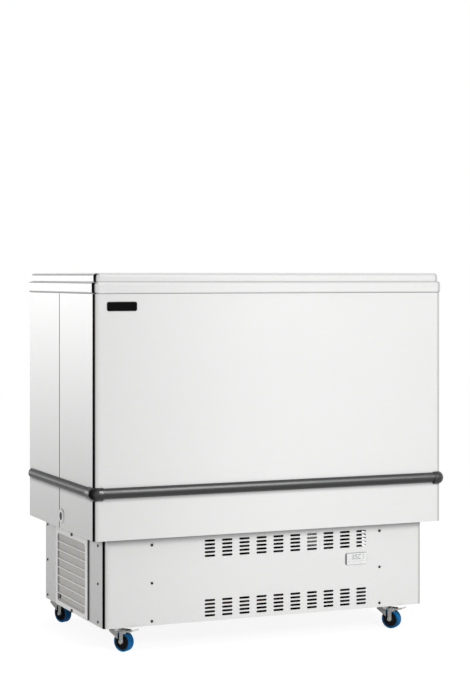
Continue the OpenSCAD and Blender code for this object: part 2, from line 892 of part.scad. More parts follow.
module lid_frame(side) {
    color("dimgray")
        difference() {
            translate([side * lid_x, 0, lid_z(side)])
                linear_extrude(lid_t)
                    round_rect(lid_l, lid_d, 2);
            translate([panel_x(side), 0, lid_z(side) + lid_bottom_t])
                linear_extrude(lid_t)
                    round_rect(panel_w, panel_d, 3);
            translate([panel_x(side), 0, lid_z(side) - cut])
                linear_extrude(lid_t)
                    round_rect(panel_w - 2 * lid_ledge, panel_d - 2 * lid_ledge, 3);
            translate([side * (lid_x + lid_l / 2 - grip_bar_w / 2), 0,
                       lid_z(side) + lid_t - grip_depth])
                linear_extrude(lid_t)
                    round_rect(grip_w, grip_l, 5);
        }
}

// Bumper

// Half-round section that stands out by out from a flat back of height h
module bumper_section(h, out) {
    r = (h * h / 4 + out * out) / (2 * out);
    intersection() {
        translate([out - r, 0])
            circle(r);
        translate([0, -h])
            square([2 * out, 2 * h]);
    }
}

// Straight bar along a face of the body; turn takes the rear face to that face
module bumper_bar(turn, face, length, shift, out) {
    rotate([0, 0, turn])
        translate([shift, face, body_z0 + bumper_rise])
            rotate([90, 0, 90])
                linear_extrude(length, center = true)
                    bumper_section(bumper_h, out);
}

// Front and side bars end at the moulded corners; the rear bar stands out as far as these do
module bumper_bars() {
    front_end = corner_r + bumper_front_arm + seat_gap;
    side_end = corner_r + bumper_side_arm + seat_gap;
    side_l = body_d - side_end - bumper_rear_in;
    color("dimgray") {
        bumper_bar(180, body_d / 2, body_w - 2 * front_end, 0, bumper_out);
        for (x = [-1, 1])
            bumper_bar(-90 * x, body_w / 2, side_l, x * (bumper_rear_in - side_end) / 2, bumper_out);
        bumper_bar(0, body_d / 2, body_w - 2 * bumper_rear_in, 0, bumper_corner_out);
    }
}

// Quarter turn at the rear right, with arms of the given lengths along the rear and the right side
module bumper_corner(rear_arm, right_arm) {
    rotate_extrude(angle = 90)
        translate([corner_r, 0])
            bumper_section(bumper_corner_h, bumper_corner_out);
    translate([-rear_arm, corner_r, 0])
        rotate([90, 0, 90])
            linear_extrude(rear_arm)
                bumper_section(bumper_corner_h, bumper_corner_out);
    translate([corner_r, 0, 0])
        rotate([90, 0, 0])
            linear_extrude(right_arm)
                bumper_section(bumper_corner_h, bumper_corner_out);
}

module bumper_corners() {
    color("dimgray")
        for (x = [-1, 1])
            translate([x * (body_w / 2 - corner_r), -body_d / 2 + corner_r,
                       body_z0 + bumper_rise - bumper_corner_drop])
                rotate([0, 0, x > 0 ? 270 : 180])
                    bumper_corner(x > 0 ? bumper_side_arm : bumper_front_arm,
                                  x > 0 ? bumper_front_arm : bumper_side_arm);
}

// Plate and drain

module badge_plate() {
    color("black")
        translate([-body_w / 2 + badge_in + badge_w / 2, -body_d / 2, body_z1 - badge_drop])
            rotate([90, 0, 0])
                linear_extrude(badge_t)
                    round_rect(badge_w, badge_h, badge_r);
}

function drain_points() = [
    [-body_w / 2 + sheet_t, -drain_front, drain_z],
    [drain_hole_x, -drain_front, drain_z],
    [drain_hole_x, -drain_front, tub_floor_z - liner_t]
];

module drain_tube() {
    points = drain_points();
    color("lightgray")
        difference() {
            pipe_run(points, drain_tube_d);
            pipe_run([points[0] - [cut, 0, 0], points[1], points[2] + [0, 0, cut]], drain_bore_d);
        }
}

module drain_outlet() {
    face = -body_w / 2;
    color("white")
        difference() {
            union() {
                bar_x(face - drain_ring_t, face, -drain_front, drain_z, drain_ring_d);
                bar_x(face - cut, face + spigot_l, -drain_front, drain_z,
                      drain_bore_d - 2 * seat_gap);
            }
            bar_x(face - drain_ring_t - cut, face - drain_ring_t + stopper_head_t, -drain_front,
                  drain_z, drain_recess_d);
            bar_x(face - drain_ring_t, face + spigot_l + cut, -drain_front, drain_z,
                  stopper_d + 2 * move_gap);
        }
}

module drain_cap() {
    face = -body_w / 2 - drain_ring_t;
    color("dimgray") {
        bar_x(face, face + stopper_head_t - move_gap, -drain_front, drain_z,
              drain_recess_d - 2 * move_gap);
        bar_x(face + stopper_head_t / 2, face + stopper_l, -drain_front, drain_z, stopper_d);
    }
}

// Plinth

// Screw axes as [point on the sheet's face, outward direction]
function screw_places() = [
    for (z = screw_zs, x = [-1, 1]) each [
        [[x * (plinth_x1 - front_screw_in), plinth_y0, z], [0, -1, 0]],
        [[x * (plinth_x1 - front_screw_in), plinth_y1, z], [0, 1, 0]],
        [[x * plinth_x1, plinth_y0 + side_screw_front_in, z], [x, 0, 0]],
        [[x * plinth_x1, plinth_y1 - side_screw_rear_in, z], [x, 0, 0]]
    ]
];

module screw_holes() {
    for (s = screw_places())
        rod(s[0] + cut * s[1], s[0] - (screw_grip + cut) * s[1], screw_d + 2 * seat_gap);
}

module panel_screws() {
    color("dimgray")
        for (s = screw_places()) {
            rod(s[0] - screw_grip * s[1], s[0] + 0.1 * s[1], screw_d);
            rod(s[0], s[0] + screw_head_h * s[1], screw_head_d);
        }
}

// Knob axes as heights; both knobs go through the left cover into the frame
module knob_holes() {
    for (z = [knob_low_z, knob_high_z])
        bar_x(-plinth_x1 - 2 * cover_out, -frame_x1 + frame_t + cut, knob_y, z,
              knob_shank_d + 2 * seat_gap);
}

module grille_knobs() {
    face = -plinth_x1 - cover_out;
    color("black")
        for (z = [knob_low_z, knob_high_z]) {
            bar_x(face - knob_head_t, face, knob_y, z, knob_d);
            bar_x(face - knob_head_t / 2, -frame_x1 + frame_t, knob_y, z, knob_shank_d);
        }
}

// Welded tray, corner posts, flat uprights and top rails
module base_frame() {
    inner = frame_x1 - frame_t;
    y0 = plinth_y0 + sheet_t + seat_gap;
    y1 = plinth_y1 - sheet_t - seat_gap;
    r = corner_r - sheet_t - seat_gap;
    color("gray")
        difference() {
            union() {
                translate([0, plinth_y, plinth_z0])
                    linear_extrude(frame_t)
                        round_rect(2 * frame_x1, y1 - y0, r);
                translate([0, plinth_y, 0])
                    sheet_ring(2 * frame_x1, y1 - y0, r, frame_t, plinth_z0,
                               plinth_z0 + tray_edge_h);
                // corner posts
                intersection() {
                    translate([0, plinth_y, 0])
                        sheet_ring(2 * frame_x1, y1 - y0, r, frame_t, plinth_z0, body_z0);
                    for (x = [-1, 1], y = [0, 1])
                        translate([x * frame_x1, y > 0 ? y1 : y0, (plinth_z0 + body_z0) / 2])
                            cube([2 * post_leg, 2 * post_leg, 2 * plinth_h], center = true);
                }
                for (x = [-1, 1]) {
                    // uprights behind the front and back sheets
                    screw_x = x * (plinth_x1 - front_screw_in);
                    box([screw_x - upright_w / 2, y0, plinth_z0],
                        [screw_x + upright_w / 2, y0 + frame_t, body_z0]);
                    box([screw_x - upright_w / 2, y1 - frame_t, plinth_z0],
                        [screw_x + upright_w / 2, y1, body_z0]);
                    // uprights and top rail behind a side cover
                    side0 = x > 0 ? inner : -frame_x1;
                    for (y = [cover_y0, cover_y1])
                        box([side0, y - upright_w / 2, plinth_z0],
                            [side0 + frame_t, y + upright_w / 2, body_z0]);
                    box([side0, cover_y0, body_z0 - top_rail_h],
                        [side0 + frame_t, cover_y1, body_z0]);
                }
            }
            screw_holes();
            knob_holes();
        }
}

// Bank of round-ended slots cut through a sheet that faces -Y
module slot_bank(x0, z0, columns, rows, y) {
    for (i = [0:columns - 1], j = [0:rows - 1])
        translate([x0 + i * slot_pitch_x, y + 2 * sheet_t, z0 + j * slot_pitch_z])
            rotate([90, 0, 0])
                linear_extrude(4 * sheet_t) {
                    square([slot_l - slot_h, slot_h], center = true);
                    for (x = [-1, 1])
                        translate([x * (slot_l - slot_h) / 2, 0])
                            circle(d = slot_h);
                }
}

// Upper and lower banks of slots in the sheet at y
module slot_banks(x0, columns, y) {
    slot_bank(x0, plinth_z0 + slot_bottom_rise, columns, slot_rows, y);
    slot_bank(x0, body_z0 - slot_top_drop - (slot_rows - 1) * slot_pitch_z, columns, slot_rows, y);
}

module plinth_sheet() {
    translate([0, plinth_y, 0])
        sheet_ring(plinth_w, plinth_d, corner_r, sheet_t, plinth_z0, body_z0);
}

module plinth_front() {
    color("gainsboro")
        difference() {
            intersection() {
                plinth_sheet();
                box([-body_w, -body_d, 0], [body_w, cover_y0 - cover_gap, top_z]);
            }
            slot_banks(-slot_first_left, slot_columns, plinth_y0);
            translate([thermo_x, plinth_y0, thermo_z])
                cube([thermo_w - 2 * (bezel_lap_x - cutout_gap), 4 * sheet_t,
                      thermo_h - 2 * (bezel_lap_z - cutout_gap)], center = true);
            screw_holes();
        }
}

module plinth_rear() {
    rear_columns = 6;
    color("gainsboro")
        difference() {
            intersection() {
                plinth_sheet();
                box([-body_w, cover_y1 + cover_gap, 0], [body_w, body_d, top_z]);
            }
            slot_banks((2 - rear_columns) * slot_pitch_x, rear_columns, plinth_y1);
            translate([inlet_x, plinth_y1, inlet_z])
                cube([inlet_w - 2 * (inlet_lap_x - seat_gap), 4 * sheet_t,
                      inlet_h - 2 * (inlet_lap_z - seat_gap)], center = true);
            screw_holes();
        }
}

// Proud tray-shaped cover over a plinth side, facing -Y before it is turned
module side_tray() {
    h = plinth_h - 2 * cover_lift;
    depth = cover_out + sheet_t;
    difference() {
        rotate([90, 0, 0])
            rounded_slab(cover_w, h, depth, cover_edge_r + 1, cover_edge_r, 0.2);
        translate([0, cut, 0])
            rotate([90, 0, 0])
                rounded_slab(cover_w - 2 * sheet_t, h - 2 * sheet_t, cover_out + cut,
                             cover_edge_r, cover_edge_r - sheet_t, 0.2);
    }
}

// The tray against the left (-1) or right (1) side of the plinth
module placed_tray(side) {
    translate([side * (plinth_x1 - sheet_t), (cover_y0 + cover_y1) / 2, (plinth_z0 + body_z0) / 2])
        rotate([0, 0, side * 90])
            side_tray();
}

module grille_cover() {
    face = -plinth_x1 - cover_out;
    color("gainsboro") {
        difference() {
            placed_tray(-1);
            translate([face - cut, grille_y, grille_z])
                rotate([90, 0, 90])
                    linear_extrude(2 * cover_out)
                        round_rect(grille_w, grille_h, grille_r);
            knob_holes();
        }
        for (i = [0:grille_bars - 1])
            translate([bar_x0, grille_y0 - bar_lap,
                       grille_z0 + bar_first_rise + i * bar_pitch - bar_h / 2])
                cube([bar_t, grille_w + 2 * bar_lap, bar_h]);
    }
}

module side_panel() {
    panel_columns = 5;
    panel_rows = 14;
    color("gainsboro")
        difference() {
            placed_tray(1);
            translate([plinth_x1 + cover_out, 0, 0])
                rotate([0, 0, 90])
                    slot_bank((cover_y0 + cover_y1) / 2 - (panel_columns - 1) * slot_pitch_x / 2,
                              plinth_z0 + plinth_h / 2 - (panel_rows - 1) * slot_pitch_z / 2,
                              panel_columns, panel_rows, 0);
        }
}

// Between the bars and the frame; the netting lies a little behind the filter's own edge
module dust_filter() {
    w = grille_w + 2 * filter_lap;
    h = grille_h + 2 * filter_lap;
    t = filter_x1 - filter_x0;
    edge = filter_lap + filter_edge;
    color("gray")
        translate([filter_x0, grille_y, grille_z])
            rotate([90, 0, 90])
                difference() {
                    linear_extrude(t)
                        round_rect(w, h, filter_r);
                    translate([0, 0, -cut])
                        linear_extrude(cut + filter_sink)
                            round_rect(w - 2 * edge, h - 2 * edge, filter_r);
                    // finger hole at the low rear corner
                    translate([grille_w / 2 - finger_in, finger_rise - grille_h / 2, -cut])
                        linear_extrude(t + 2 * cut)
                            round_rect(finger_w, finger_h, finger_r);
                }
}

// Thermostat

module key_shape(i, grow) {
    translate([thermo_x + i * key_pitch, plinth_y0, key_z])
        cube([key_w + 2 * grow, thermo_depth, key_h + 2 * grow], center = true);
}

// Space of the display window, smaller all round by gap and reaching forwards to y0
module window_space(gap, y0) {
    half_w = thermo_w / 2 - window_in - gap;
    window_top = thermo_z + thermo_h / 2 - thermo_edge - gap;
    box([thermo_x - half_w, y0, window_top - window_h + 2 * gap],
        [thermo_x + half_w, plinth_y0 - thermo_out + window_sink + window_t, window_top]);
}

module controller_case() {
    front = plinth_y0 - thermo_out;
    pocket = front + key_t - key_proud + key_travel + move_gap;
    half_w = thermo_w / 2 - bezel_lap_x;
    half_h = thermo_h / 2 - bezel_lap_z;
    color("whitesmoke")
        difference() {
            union() {
                translate([thermo_x, plinth_y0, thermo_z])
                    rotate([90, 0, 0])
                        rounded_slab(thermo_w, thermo_h, thermo_out, 3, 0.8, 0.2);
                box([thermo_x - half_w, plinth_y0 - thermo_out / 2, thermo_z - half_h],
                    [thermo_x + half_w, plinth_y0 + thermo_depth, thermo_z + half_h]);
            }
            window_space(0, front - cut);
            // key pockets
            intersection() {
                for (i = [-1, 0, 1])
                    key_shape(i, move_gap);
                box([-body_w, front - cut, 0], [body_w, pocket, top_z]);
            }
        }
}

module controller_window() {
    color("lightgray")
        window_space(seat_gap, plinth_y0 - thermo_out + window_sink);
}

module key(i) {
    front = plinth_y0 - thermo_out - key_proud;
    color("whitesmoke")
        intersection() {
            key_shape(i, 0);
            box([-body_w, front, 0], [body_w, front + key_t, top_z]);
        }
}

// Refrigeration

// Shape with two round ends along X, grown by grow, from z0 to z1
module oblong(r, z0, z1) {
    translate([compressor_x, compressor_y, z0])
        linear_extrude(z1 - z0) {
            square([compressor_span, 2 * r], center = true);
            for (x = [-1, 1])
                translate([x * compressor_span / 2, 0])
                    circle(r);
        }
}

// Rounded body about height z, with ball ends
module capsule(r, z) {
    bar_x(compressor_x - compressor_span / 2, compressor_x + compressor_span / 2,
          compressor_y, z, 2 * r);
    for (x = [-1, 1])
        translate([compressor_x + x * compressor_span / 2, compressor_y, z])
            sphere(r);
}

foot_x = compressor_span / 2 + compressor_r - belly_sink;
foot_y = compressor_r;

module compressor() {
    seam_z = (compressor_low_z + compressor_high_z) / 2;
    far = 2 * (compressor_span + compressor_r);
    color([0.12, 0.12, 0.13])
        difference() {
            union() {
                capsule(compressor_r, compressor_low_z);
                capsule(compressor_r, compressor_high_z);
                oblong(compressor_r, compressor_low_z, compressor_high_z);
                oblong(compressor_r + seam_lip, seam_z - seam_lip, seam_z + seam_lip);
                box([compressor_x - foot_x - foot_edge, compressor_y - foot_y - foot_edge,
                     compressor_z0],
                    [compressor_x + foot_x + foot_edge, compressor_y + foot_y + foot_edge,
                     compressor_z0 + compressor_foot_t]);
                oblong(compressor_r - skirt_in, compressor_z0, compressor_low_z);
                // stubs that the two pipes are brazed to
                for (x = [-1, 1])
                    translate([compressor_x + x * compressor_span / 2, compressor_y,
                               compressor_high_z])
                        cylinder(h = stub_z - compressor_high_z, d = pipe_d + 2 * stub_wall);
            }
            // flat underside and the four mounting holes
            box([compressor_x - far, compressor_y - far, compressor_z0 - far],
                [compressor_x + far, compressor_y + far, compressor_z0]);
            for (x = [-1, 1], y = [-1, 1])
                translate([compressor_x + x * foot_x, compressor_y + y * foot_y, compressor_z0 - cut])
                    cylinder(h = compressor_foot_t + 2 * cut, d = sleeve_d + 2 * move_gap);
        }
}

module compressor_mounts() {
    color([0.1, 0.1, 0.1])
        for (x = [-1, 1], y = [-1, 1])
            translate([compressor_x + x * foot_x, compressor_y + y * foot_y, plinth_z0 + frame_t]) {
                cylinder(h = mount_h, d = mount_d);
                cylinder(h = mount_h + compressor_foot_t + sleeve_top, d = sleeve_d);
            }
}

module relay_box() {
    x = compressor_x + compressor_span / 2 + compressor_r + seam_lip + seat_gap;
    y = compressor_y - relay_w / 2;
    z = (compressor_low_z + compressor_high_z - relay_h) / 2;
    color("whitesmoke")
        difference() {
            translate([x, y, z])
                cube([relay_t, relay_w, relay_h]);
            translate([x + relay_t - relay_recess, y + relay_edge, z + relay_edge])
                cube([relay_t, relay_w - 2 * relay_edge, relay_h - 2 * relay_edge]);
        }
}

// Half ring of pipe in the plane of Y and Z; it bulges towards +Y
module half_bend(r) {
    rotate([0, 90, 0])
        rotate_extrude(angle = 180)
            translate([r, 0])
                circle(d = pipe_d);
}

module condenser() {
    y1 = condenser_y0 + condenser_l;
    end_t = 2;
    fin_t = 0.8;
    fin_pitch = (condenser_l - end_t) / (fin_count - 1);
    bend_r = (tube_z(1) - tube_z(0)) / 2;
    color("silver") {
        for (i = [0:fin_count - 1]) {
            is_end = i == 0 || i == fin_count - 1;
            y = condenser_y0 + i * fin_pitch;
            box([condenser_x0, y, condenser_z0 + (is_end ? 0 : 10)],
                [condenser_x1, y + (is_end ? end_t : fin_t), condenser_z0 + condenser_h]);
        }
        for (j = [0, 1]) {
            for (i = [0:tube_rows - 1])
                bar_y(tube_x(j), condenser_y0 - tube_stub, y1 + tube_stub, tube_z(i), pipe_d);
            // bends join neighbouring tubes at alternate ends
            for (i = [0:tube_rows - 2])
                translate([tube_x(j), i % 2 == 0 ? y1 + tube_stub : condenser_y0 - tube_stub,
                           (tube_z(i) + tube_z(i + 1)) / 2])
                    rotate([i % 2 == 0 ? 0 : 180, 0, 0])
                        half_bend(bend_r);
        }
        // the two rows join at their lowest tubes
        translate([(tube_x(0) + tube_x(1)) / 2, condenser_y0 - tube_stub, tube_z(0)])
            rotate([180, 90, 0])
                half_bend((tube_x(1) - tube_x(0)) / 2);
    }
}

module fan_shroud() {
    hole_r = fan_d / 2 + fan_tip_gap;
    arm_r = hole_r + shroud_t + cut;
    color("dimgray")
        difference() {
            union() {
                translate([shroud_x0, condenser_y0, condenser_z0])
                    cube([shroud_t, condenser_l, condenser_h]);
                bar_x(shroud_x0, shroud_x0 + shroud_ring_l, fan_y, fan_z, 2 * (hole_r + shroud_t));
                for (a = [45:90:315])
                    translate([0, fan_y, fan_z])
                        rotate([a, 0, 0]) {
                            box([shroud_x0, arm_r, -arm_w / 2], [motor_x0, arm_r + arm_t, arm_w / 2]);
                            box([motor_x0 - spider_t, 0, -arm_w / 2],
                                [motor_x0, arm_r + arm_t, arm_w / 2]);
                        }
                bar_x(motor_x0 - spider_t, motor_x0, fan_y, fan_z, motor_d);
            }
            bar_x(shroud_x0 - cut, shroud_x0 + shroud_ring_l + cut, fan_y, fan_z, 2 * hole_r);
            bar_x(shroud_x0, motor_x0 + cut, fan_y, fan_z, 2 * shaft_d);
        }
}

module fan_motor() {
    band_x0 = motor_x0 + (motor_l - motor_band_w) / 2;
    color("silver") {
        bar_x(motor_x0, motor_x0 + motor_l, fan_y, fan_z, motor_d);
        bar_x(band_x0, band_x0 + motor_band_w, fan_y, fan_z, motor_d + 2 * motor_band_out);
        bar_x(fan_x - 0.4 * fan_hub_l, motor_x0 + cut, fan_y, fan_z, shaft_d);
    }
}

module fan_blades() {
    half = fan_hub_l / 2;
    root_r = fan_hub_d / 2 - blade_root;
    color("black")
        difference() {
            union() {
                bar_x(fan_x - half, fan_x + half, fan_y, fan_z, fan_hub_d);
                intersection() {
                    for (i = [0:fan_blade_count - 1])
                        translate([fan_x, fan_y, fan_z])
                            rotate([i * 360 / fan_blade_count, 0, 0])
                                translate([0, root_r, 0])
                                    blade(fan_d / 2 - root_r + blade_root);
                    bar_x(fan_x - half - blade_t, fan_x + half + blade_t, fan_y, fan_z, fan_d);
                }
            }
            bar_x(fan_x - half - cut, fan_x + half + cut, fan_y, fan_z, shaft_d + 2 * turn_gap);
        }
}

// Pitched flat blade that reaches along +Y
module blade(reach) {
    rotate([0, blade_angle, 0])
        translate([-blade_t / 2, 0, -blade_chord / 2])
            cube([blade_t, reach, blade_chord]);
}

module refrigerant_pipes() {
    over_z = body_z0 - pipe_below_body;
    suction_z = over_z - suction_drop;
    capillary_z = over_z - capillary_drop;
    tube_end = condenser_y0 - tube_stub;
    discharge_y = tube_end - discharge_front;
    liquid_y = tube_end - liquid_front;
    drier_x = compressor_x - drier_from_compressor;
    drier_z = plinth_z0 + frame_t + drier_d;
    riser_x = drier_x + drier_l + riser_from_drier;
    top_z = tube_z(tube_rows - 1);
    discharge_x = compressor_x - compressor_span / 2;
    suction_x = compressor_x + compressor_span / 2;
    color("peru") {
        // hot gas, from the compressor to the top of the condenser's inner row
        pipe_run([
            [discharge_x, compressor_y, stub_z],
            [discharge_x, compressor_y, over_z],
            [discharge_x, discharge_y, over_z],
            [tube_x(1), discharge_y, over_z],
            [tube_x(1), discharge_y, top_z],
            [tube_x(1), tube_end, top_z]
        ], pipe_d);
        // liquid, from the top of the outer row through the drier
        pipe_run([
            [tube_x(0), tube_end, top_z],
            [tube_x(0), liquid_y, top_z],
            [tube_x(0), liquid_y, drier_z],
            [drier_x, liquid_y, drier_z]
        ], pipe_d);
        bar_x(drier_x, drier_x + drier_l, liquid_y, drier_z, drier_d);
        // thin capillary, from the drier to the coil
        pipe_run([
            [drier_x + drier_l, liquid_y, drier_z],
            [riser_x, liquid_y, drier_z],
            [riser_x, liquid_y, capillary_z],
            [tail_low[1].x, liquid_y, capillary_z],
            [tail_low[1].x, tail_low[1].y, capillary_z],
            tail_low[1]
        ], capillary_d);
        // cold gas, from the coil back to the compressor
        pipe_run([
            tail_high[2],
            [tail_high[2].x, tail_high[2].y, suction_z],
            [suction_x, tail_high[2].y, suction_z],
            [suction_x, compressor_y, suction_z],
            [suction_x, compressor_y, stub_z]
        ], pipe_d);
    }
}

module mains_inlet() {
    color([0.08, 0.08, 0.08])
        translate([inlet_x, plinth_y1, inlet_z]) {
            difference() {
                union() {
                    rotate([-90, 0, 0])
                        rounded_slab(inlet_w, inlet_h, inlet_flange_t, 4, 0.6, 0.2);
                    box([inlet_lap_x - inlet_w / 2, -inlet_depth, inlet_lap_z - inlet_h / 2],
                        [inlet_w / 2 - inlet_lap_x, 1, inlet_h / 2 - inlet_lap_z]);
                }
                box([-socket_w / 2, inlet_flange_t - socket_depth, -socket_h / 2],
                    [socket_w / 2, inlet_flange_t + cut, socket_h / 2]);
            }
            // three contact blades
            for (i = [-1, 0, 1])
                translate([i * contact_pitch - contact_w / 2, inlet_flange_t - socket_depth - 1,
                           i == 0 ? 1 : 0])
                    cube([contact_w, socket_depth - 3, contact_h]);
        }
}

// Casters

module at_caster(i) {
    translate([casters[i].x, casters[i].y, 0])
        rotate([0, 0, -casters[i].z])
            children();
}

module caster_plates() {
    head_z = fork_top - fork_t - move_gap - kingpin_head_t;
    color("silver")
        for (c = casters)
            translate([c.x, c.y, 0]) {
                translate([-plate_w / 2, -plate_w / 2, caster_h - plate_t])
                    cube([plate_w, plate_w, plate_t]);
                translate([0, 0, fork_top + move_gap])
                    cylinder(h = race_t + plate_t / 2, d = race_d);
                translate([0, 0, head_z]) {
                    cylinder(h = fork_top + move_gap + cut - head_z, d = kingpin_d);
                    cylinder(h = kingpin_head_t, d = kingpin_d + 2 * kingpin_head_out);
                }
            }
}

// Fork leg seen from the side: crown, gusset, arm down to the axle, and bracket for the pedal's pin
module leg_outline() {
    arm_x0 = trail - leg_end_r;
    arm_x1 = trail + leg_end_r;
    difference() {
        union() {
            polygon([
                [crown_x0, fork_top],
                [crown_x0, fork_top - crown_h],
                [arm_x0 - leg_slot_w, gusset_z],
                [arm_x0, wheel_r],
                [arm_x1, wheel_r],
                [arm_x1, fork_top - bracket_h - 3],
                [trail + bracket_l, fork_top - bracket_h],
                [trail + bracket_l, fork_top]
            ]);
            translate([trail, wheel_r])
                circle(leg_end_r);
        }
        // slot between the gusset and the arm, open at the bottom
        translate([arm_x0 - leg_slot_w, 0])
            square([leg_slot_w, fork_top - crown_h]);
    }
}

module fork(i) {
    braked = i < 2;
    color("silver")
        at_caster(i)
            difference() {
                union() {
                    translate([0, 0, fork_top - fork_t]) {
                        cylinder(h = fork_t, d = race_d);
                        box([0, -leg_in - leg_t, 0], [trail + 4, leg_in + leg_t, fork_t]);
                    }
                    for (side = [-1, 1])
                        translate([0, side > 0 ? leg_in + leg_t : -leg_in, 0])
                            rotate([90, 0, 0])
                                linear_extrude(leg_t)
                                    leg_outline();
                }
                translate([0, 0, fork_top - fork_t - cut])
                    cylinder(h = fork_t + 2 * cut, d = kingpin_d + 2 * turn_gap);
                bar_y(trail, -leg_in - leg_t - cut, leg_in + leg_t + cut, wheel_r,
                      axle_d + 2 * turn_gap);
                if (braked)
                    bar_y(pedal_pin.x, -leg_in - leg_t - cut, leg_in + leg_t + cut, pedal_pin.y,
                          pedal_pin_d + 2 * turn_gap);
            }
}

module axle(i) {
    outer = leg_in + leg_t;
    color("silver")
        at_caster(i) {
            bar_y(trail, -outer - axle_head_t / 2, outer + axle_head_t / 2, wheel_r, axle_d);
            for (side = [-1, 1])
                translate([trail, side * (outer + axle_head_gap + axle_head_t / 2), wheel_r])
                    rotate([90, 0, 0])
                        cylinder(h = axle_head_t, d = axle_d + 2 * axle_head_out, center = true);
        }
}

// Half section of the hub: bore, boss, web and rim
module hub_section() {
    bore_r = axle_d / 2 + turn_gap;
    boss_r = axle_d / 2 + hub_boss_t;
    rim_r = wheel_r - tyre_t;
    translate([bore_r, -leg_in + move_gap])
        square([boss_r - bore_r, 2 * (leg_in - move_gap)]);
    translate([boss_r - cut, -hub_web_t / 2])
        square([rim_r - boss_r, hub_web_t]);
    translate([rim_r - hub_rim_t, cut - wheel_w / 2])
        square([hub_rim_t, wheel_w - 2 * cut]);
}

module hub(i) {
    color([0.08, 0.08, 0.09])
        at_caster(i)
            translate([trail, 0, wheel_r])
                rotate([90, 0, 0])
                    rotate_extrude()
                        hub_section();
}

module tyre(i) {
    edge_r = 2.5;
    rim_r = wheel_r - tyre_t;
    color([0.04, 0.28, 0.5])
        at_caster(i)
            translate([trail, 0, wheel_r])
                rotate([90, 0, 0])
                    rotate_extrude() {
                        translate([rim_r, -wheel_w / 2])
                            square([tyre_t - edge_r, wheel_w]);
                        translate([rim_r, -wheel_w / 2 + edge_r])
                            square([tyre_t, wheel_w - 2 * edge_r]);
                        for (y = [-1, 1])
                            translate([wheel_r - edge_r, y * (wheel_w / 2 - edge_r)])
                                circle(edge_r);
                    }
}

// Brake pedal: pin in the fork's legs, plate that reaches past the wheel and pad above the tyre
module pedal(i) {
    plate_half = leg_in + leg_t;
    neck_half = leg_in - 1;
    low_z = pedal_pin.y - pedal_t / 2;
    plate_x = pedal_pin.x + pedal_neck_l;
    plate_l = pedal_tip - plate_x;
    color("gray")
        at_caster(i) {
            bar_y(pedal_pin.x, -plate_half, plate_half, pedal_pin.y, pedal_pin_d);
            box([pedal_pin.x - 2, -neck_half, low_z], [plate_x + cut, neck_half, low_z + pedal_t]);
            translate([plate_x, -plate_half, low_z])
                rotate([0, -pedal_rise_angle, 0]) {
                    cube([plate_l, 2 * plate_half, pedal_t]);
                    translate([plate_l - pedal_t, 0, 0])
                        cube([pedal_t, 2 * plate_half, 2 * pedal_t]);
                }
            box([plate_x - 2, -pad_w / 2, pedal_pin.y - pad_drop],
                [plate_x - 2 + pad_l, pad_w / 2, pedal_pin.y]);
        }
}

front_wrapper();
rear_wrapper();
bottom_pan();
insulation_foam();
evaporator_coil();
inner_liner();
rim_lower();
rim_upper();
lid_tracks();
lid_panel(-1);  // left_lid_panel
lid_frame(-1);  // left_lid_frame
lid_panel(1);  // right_lid_panel
lid_frame(1);  // right_lid_frame
bumper_bars();
bumper_corners();
badge_plate();
drain_outlet();
drain_cap();
drain_tube();
base_frame();
plinth_front();
plinth_rear();
grille_cover();
dust_filter();
side_panel();
panel_screws();
grille_knobs();
controller_case();
controller_window();
key(-1);  // key_set
key(0);  // key_down
key(1);  // key_up
compressor();
compressor_mounts();
relay_box();
condenser();
fan_shroud();
fan_motor();
fan_blades();
refrigerant_pipes();
mains_inlet();
caster_plates();
fork(0);  // fork_fl
fork(1);  // fork_fr
fork(2);  // fork_rl
fork(3);  // fork_rr
axle(0);  // axle_fl
axle(1);  // axle_fr
axle(2);  // axle_rl
axle(3);  // axle_rr
hub(0);  // hub_fl
hub(1);  // hub_fr
hub(2);  // hub_rl
hub(3);  // hub_rr
tyre(0);  // tyre_fl
tyre(1);  // tyre_fr
tyre(2);  // tyre_rl
tyre(3);  // tyre_rr
pedal(0);  // pedal_fl
pedal(1);  // pedal_fr
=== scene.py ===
import json
import math

import bmesh
import bpy
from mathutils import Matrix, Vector


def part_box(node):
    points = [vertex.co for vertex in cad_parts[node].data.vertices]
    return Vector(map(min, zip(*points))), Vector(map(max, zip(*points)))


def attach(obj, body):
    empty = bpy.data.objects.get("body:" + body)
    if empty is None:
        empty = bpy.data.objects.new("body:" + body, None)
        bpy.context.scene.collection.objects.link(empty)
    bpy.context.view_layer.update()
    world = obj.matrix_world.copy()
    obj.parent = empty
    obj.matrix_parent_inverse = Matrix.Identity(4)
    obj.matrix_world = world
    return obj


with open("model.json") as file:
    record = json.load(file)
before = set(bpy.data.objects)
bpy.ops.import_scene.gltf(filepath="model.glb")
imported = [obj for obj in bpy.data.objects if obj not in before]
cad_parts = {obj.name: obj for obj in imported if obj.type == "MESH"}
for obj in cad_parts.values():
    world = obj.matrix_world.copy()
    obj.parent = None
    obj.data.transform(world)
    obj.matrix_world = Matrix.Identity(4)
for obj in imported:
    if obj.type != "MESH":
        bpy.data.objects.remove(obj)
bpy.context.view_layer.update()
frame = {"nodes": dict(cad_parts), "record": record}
nodes = frame["nodes"]
mm = 0.001

# Camera, solved from the photo: level, so that uprights stay parallel

cameraSetup = {
    "place": (-1.8905, -4.4304, 0.9352),
    "turn": 23.2,              # degrees from straight ahead towards the cooler's right
    "focal": 92.1,
    "sensor": 36,
    "shiftUp": -0.1053,
}


def makeCamera(setup):
    data = bpy.data.cameras.new("camera")
    data.lens = setup["focal"]
    data.sensor_width = setup["sensor"]
    data.shift_y = setup["shiftUp"]
    camera = bpy.data.objects.new("camera", data)
    camera.location = setup["place"]
    camera.rotation_euler = (math.radians(90), 0, math.radians(-setup["turn"]))
    bpy.context.scene.collection.objects.link(camera)
    bpy.context.scene.camera = camera


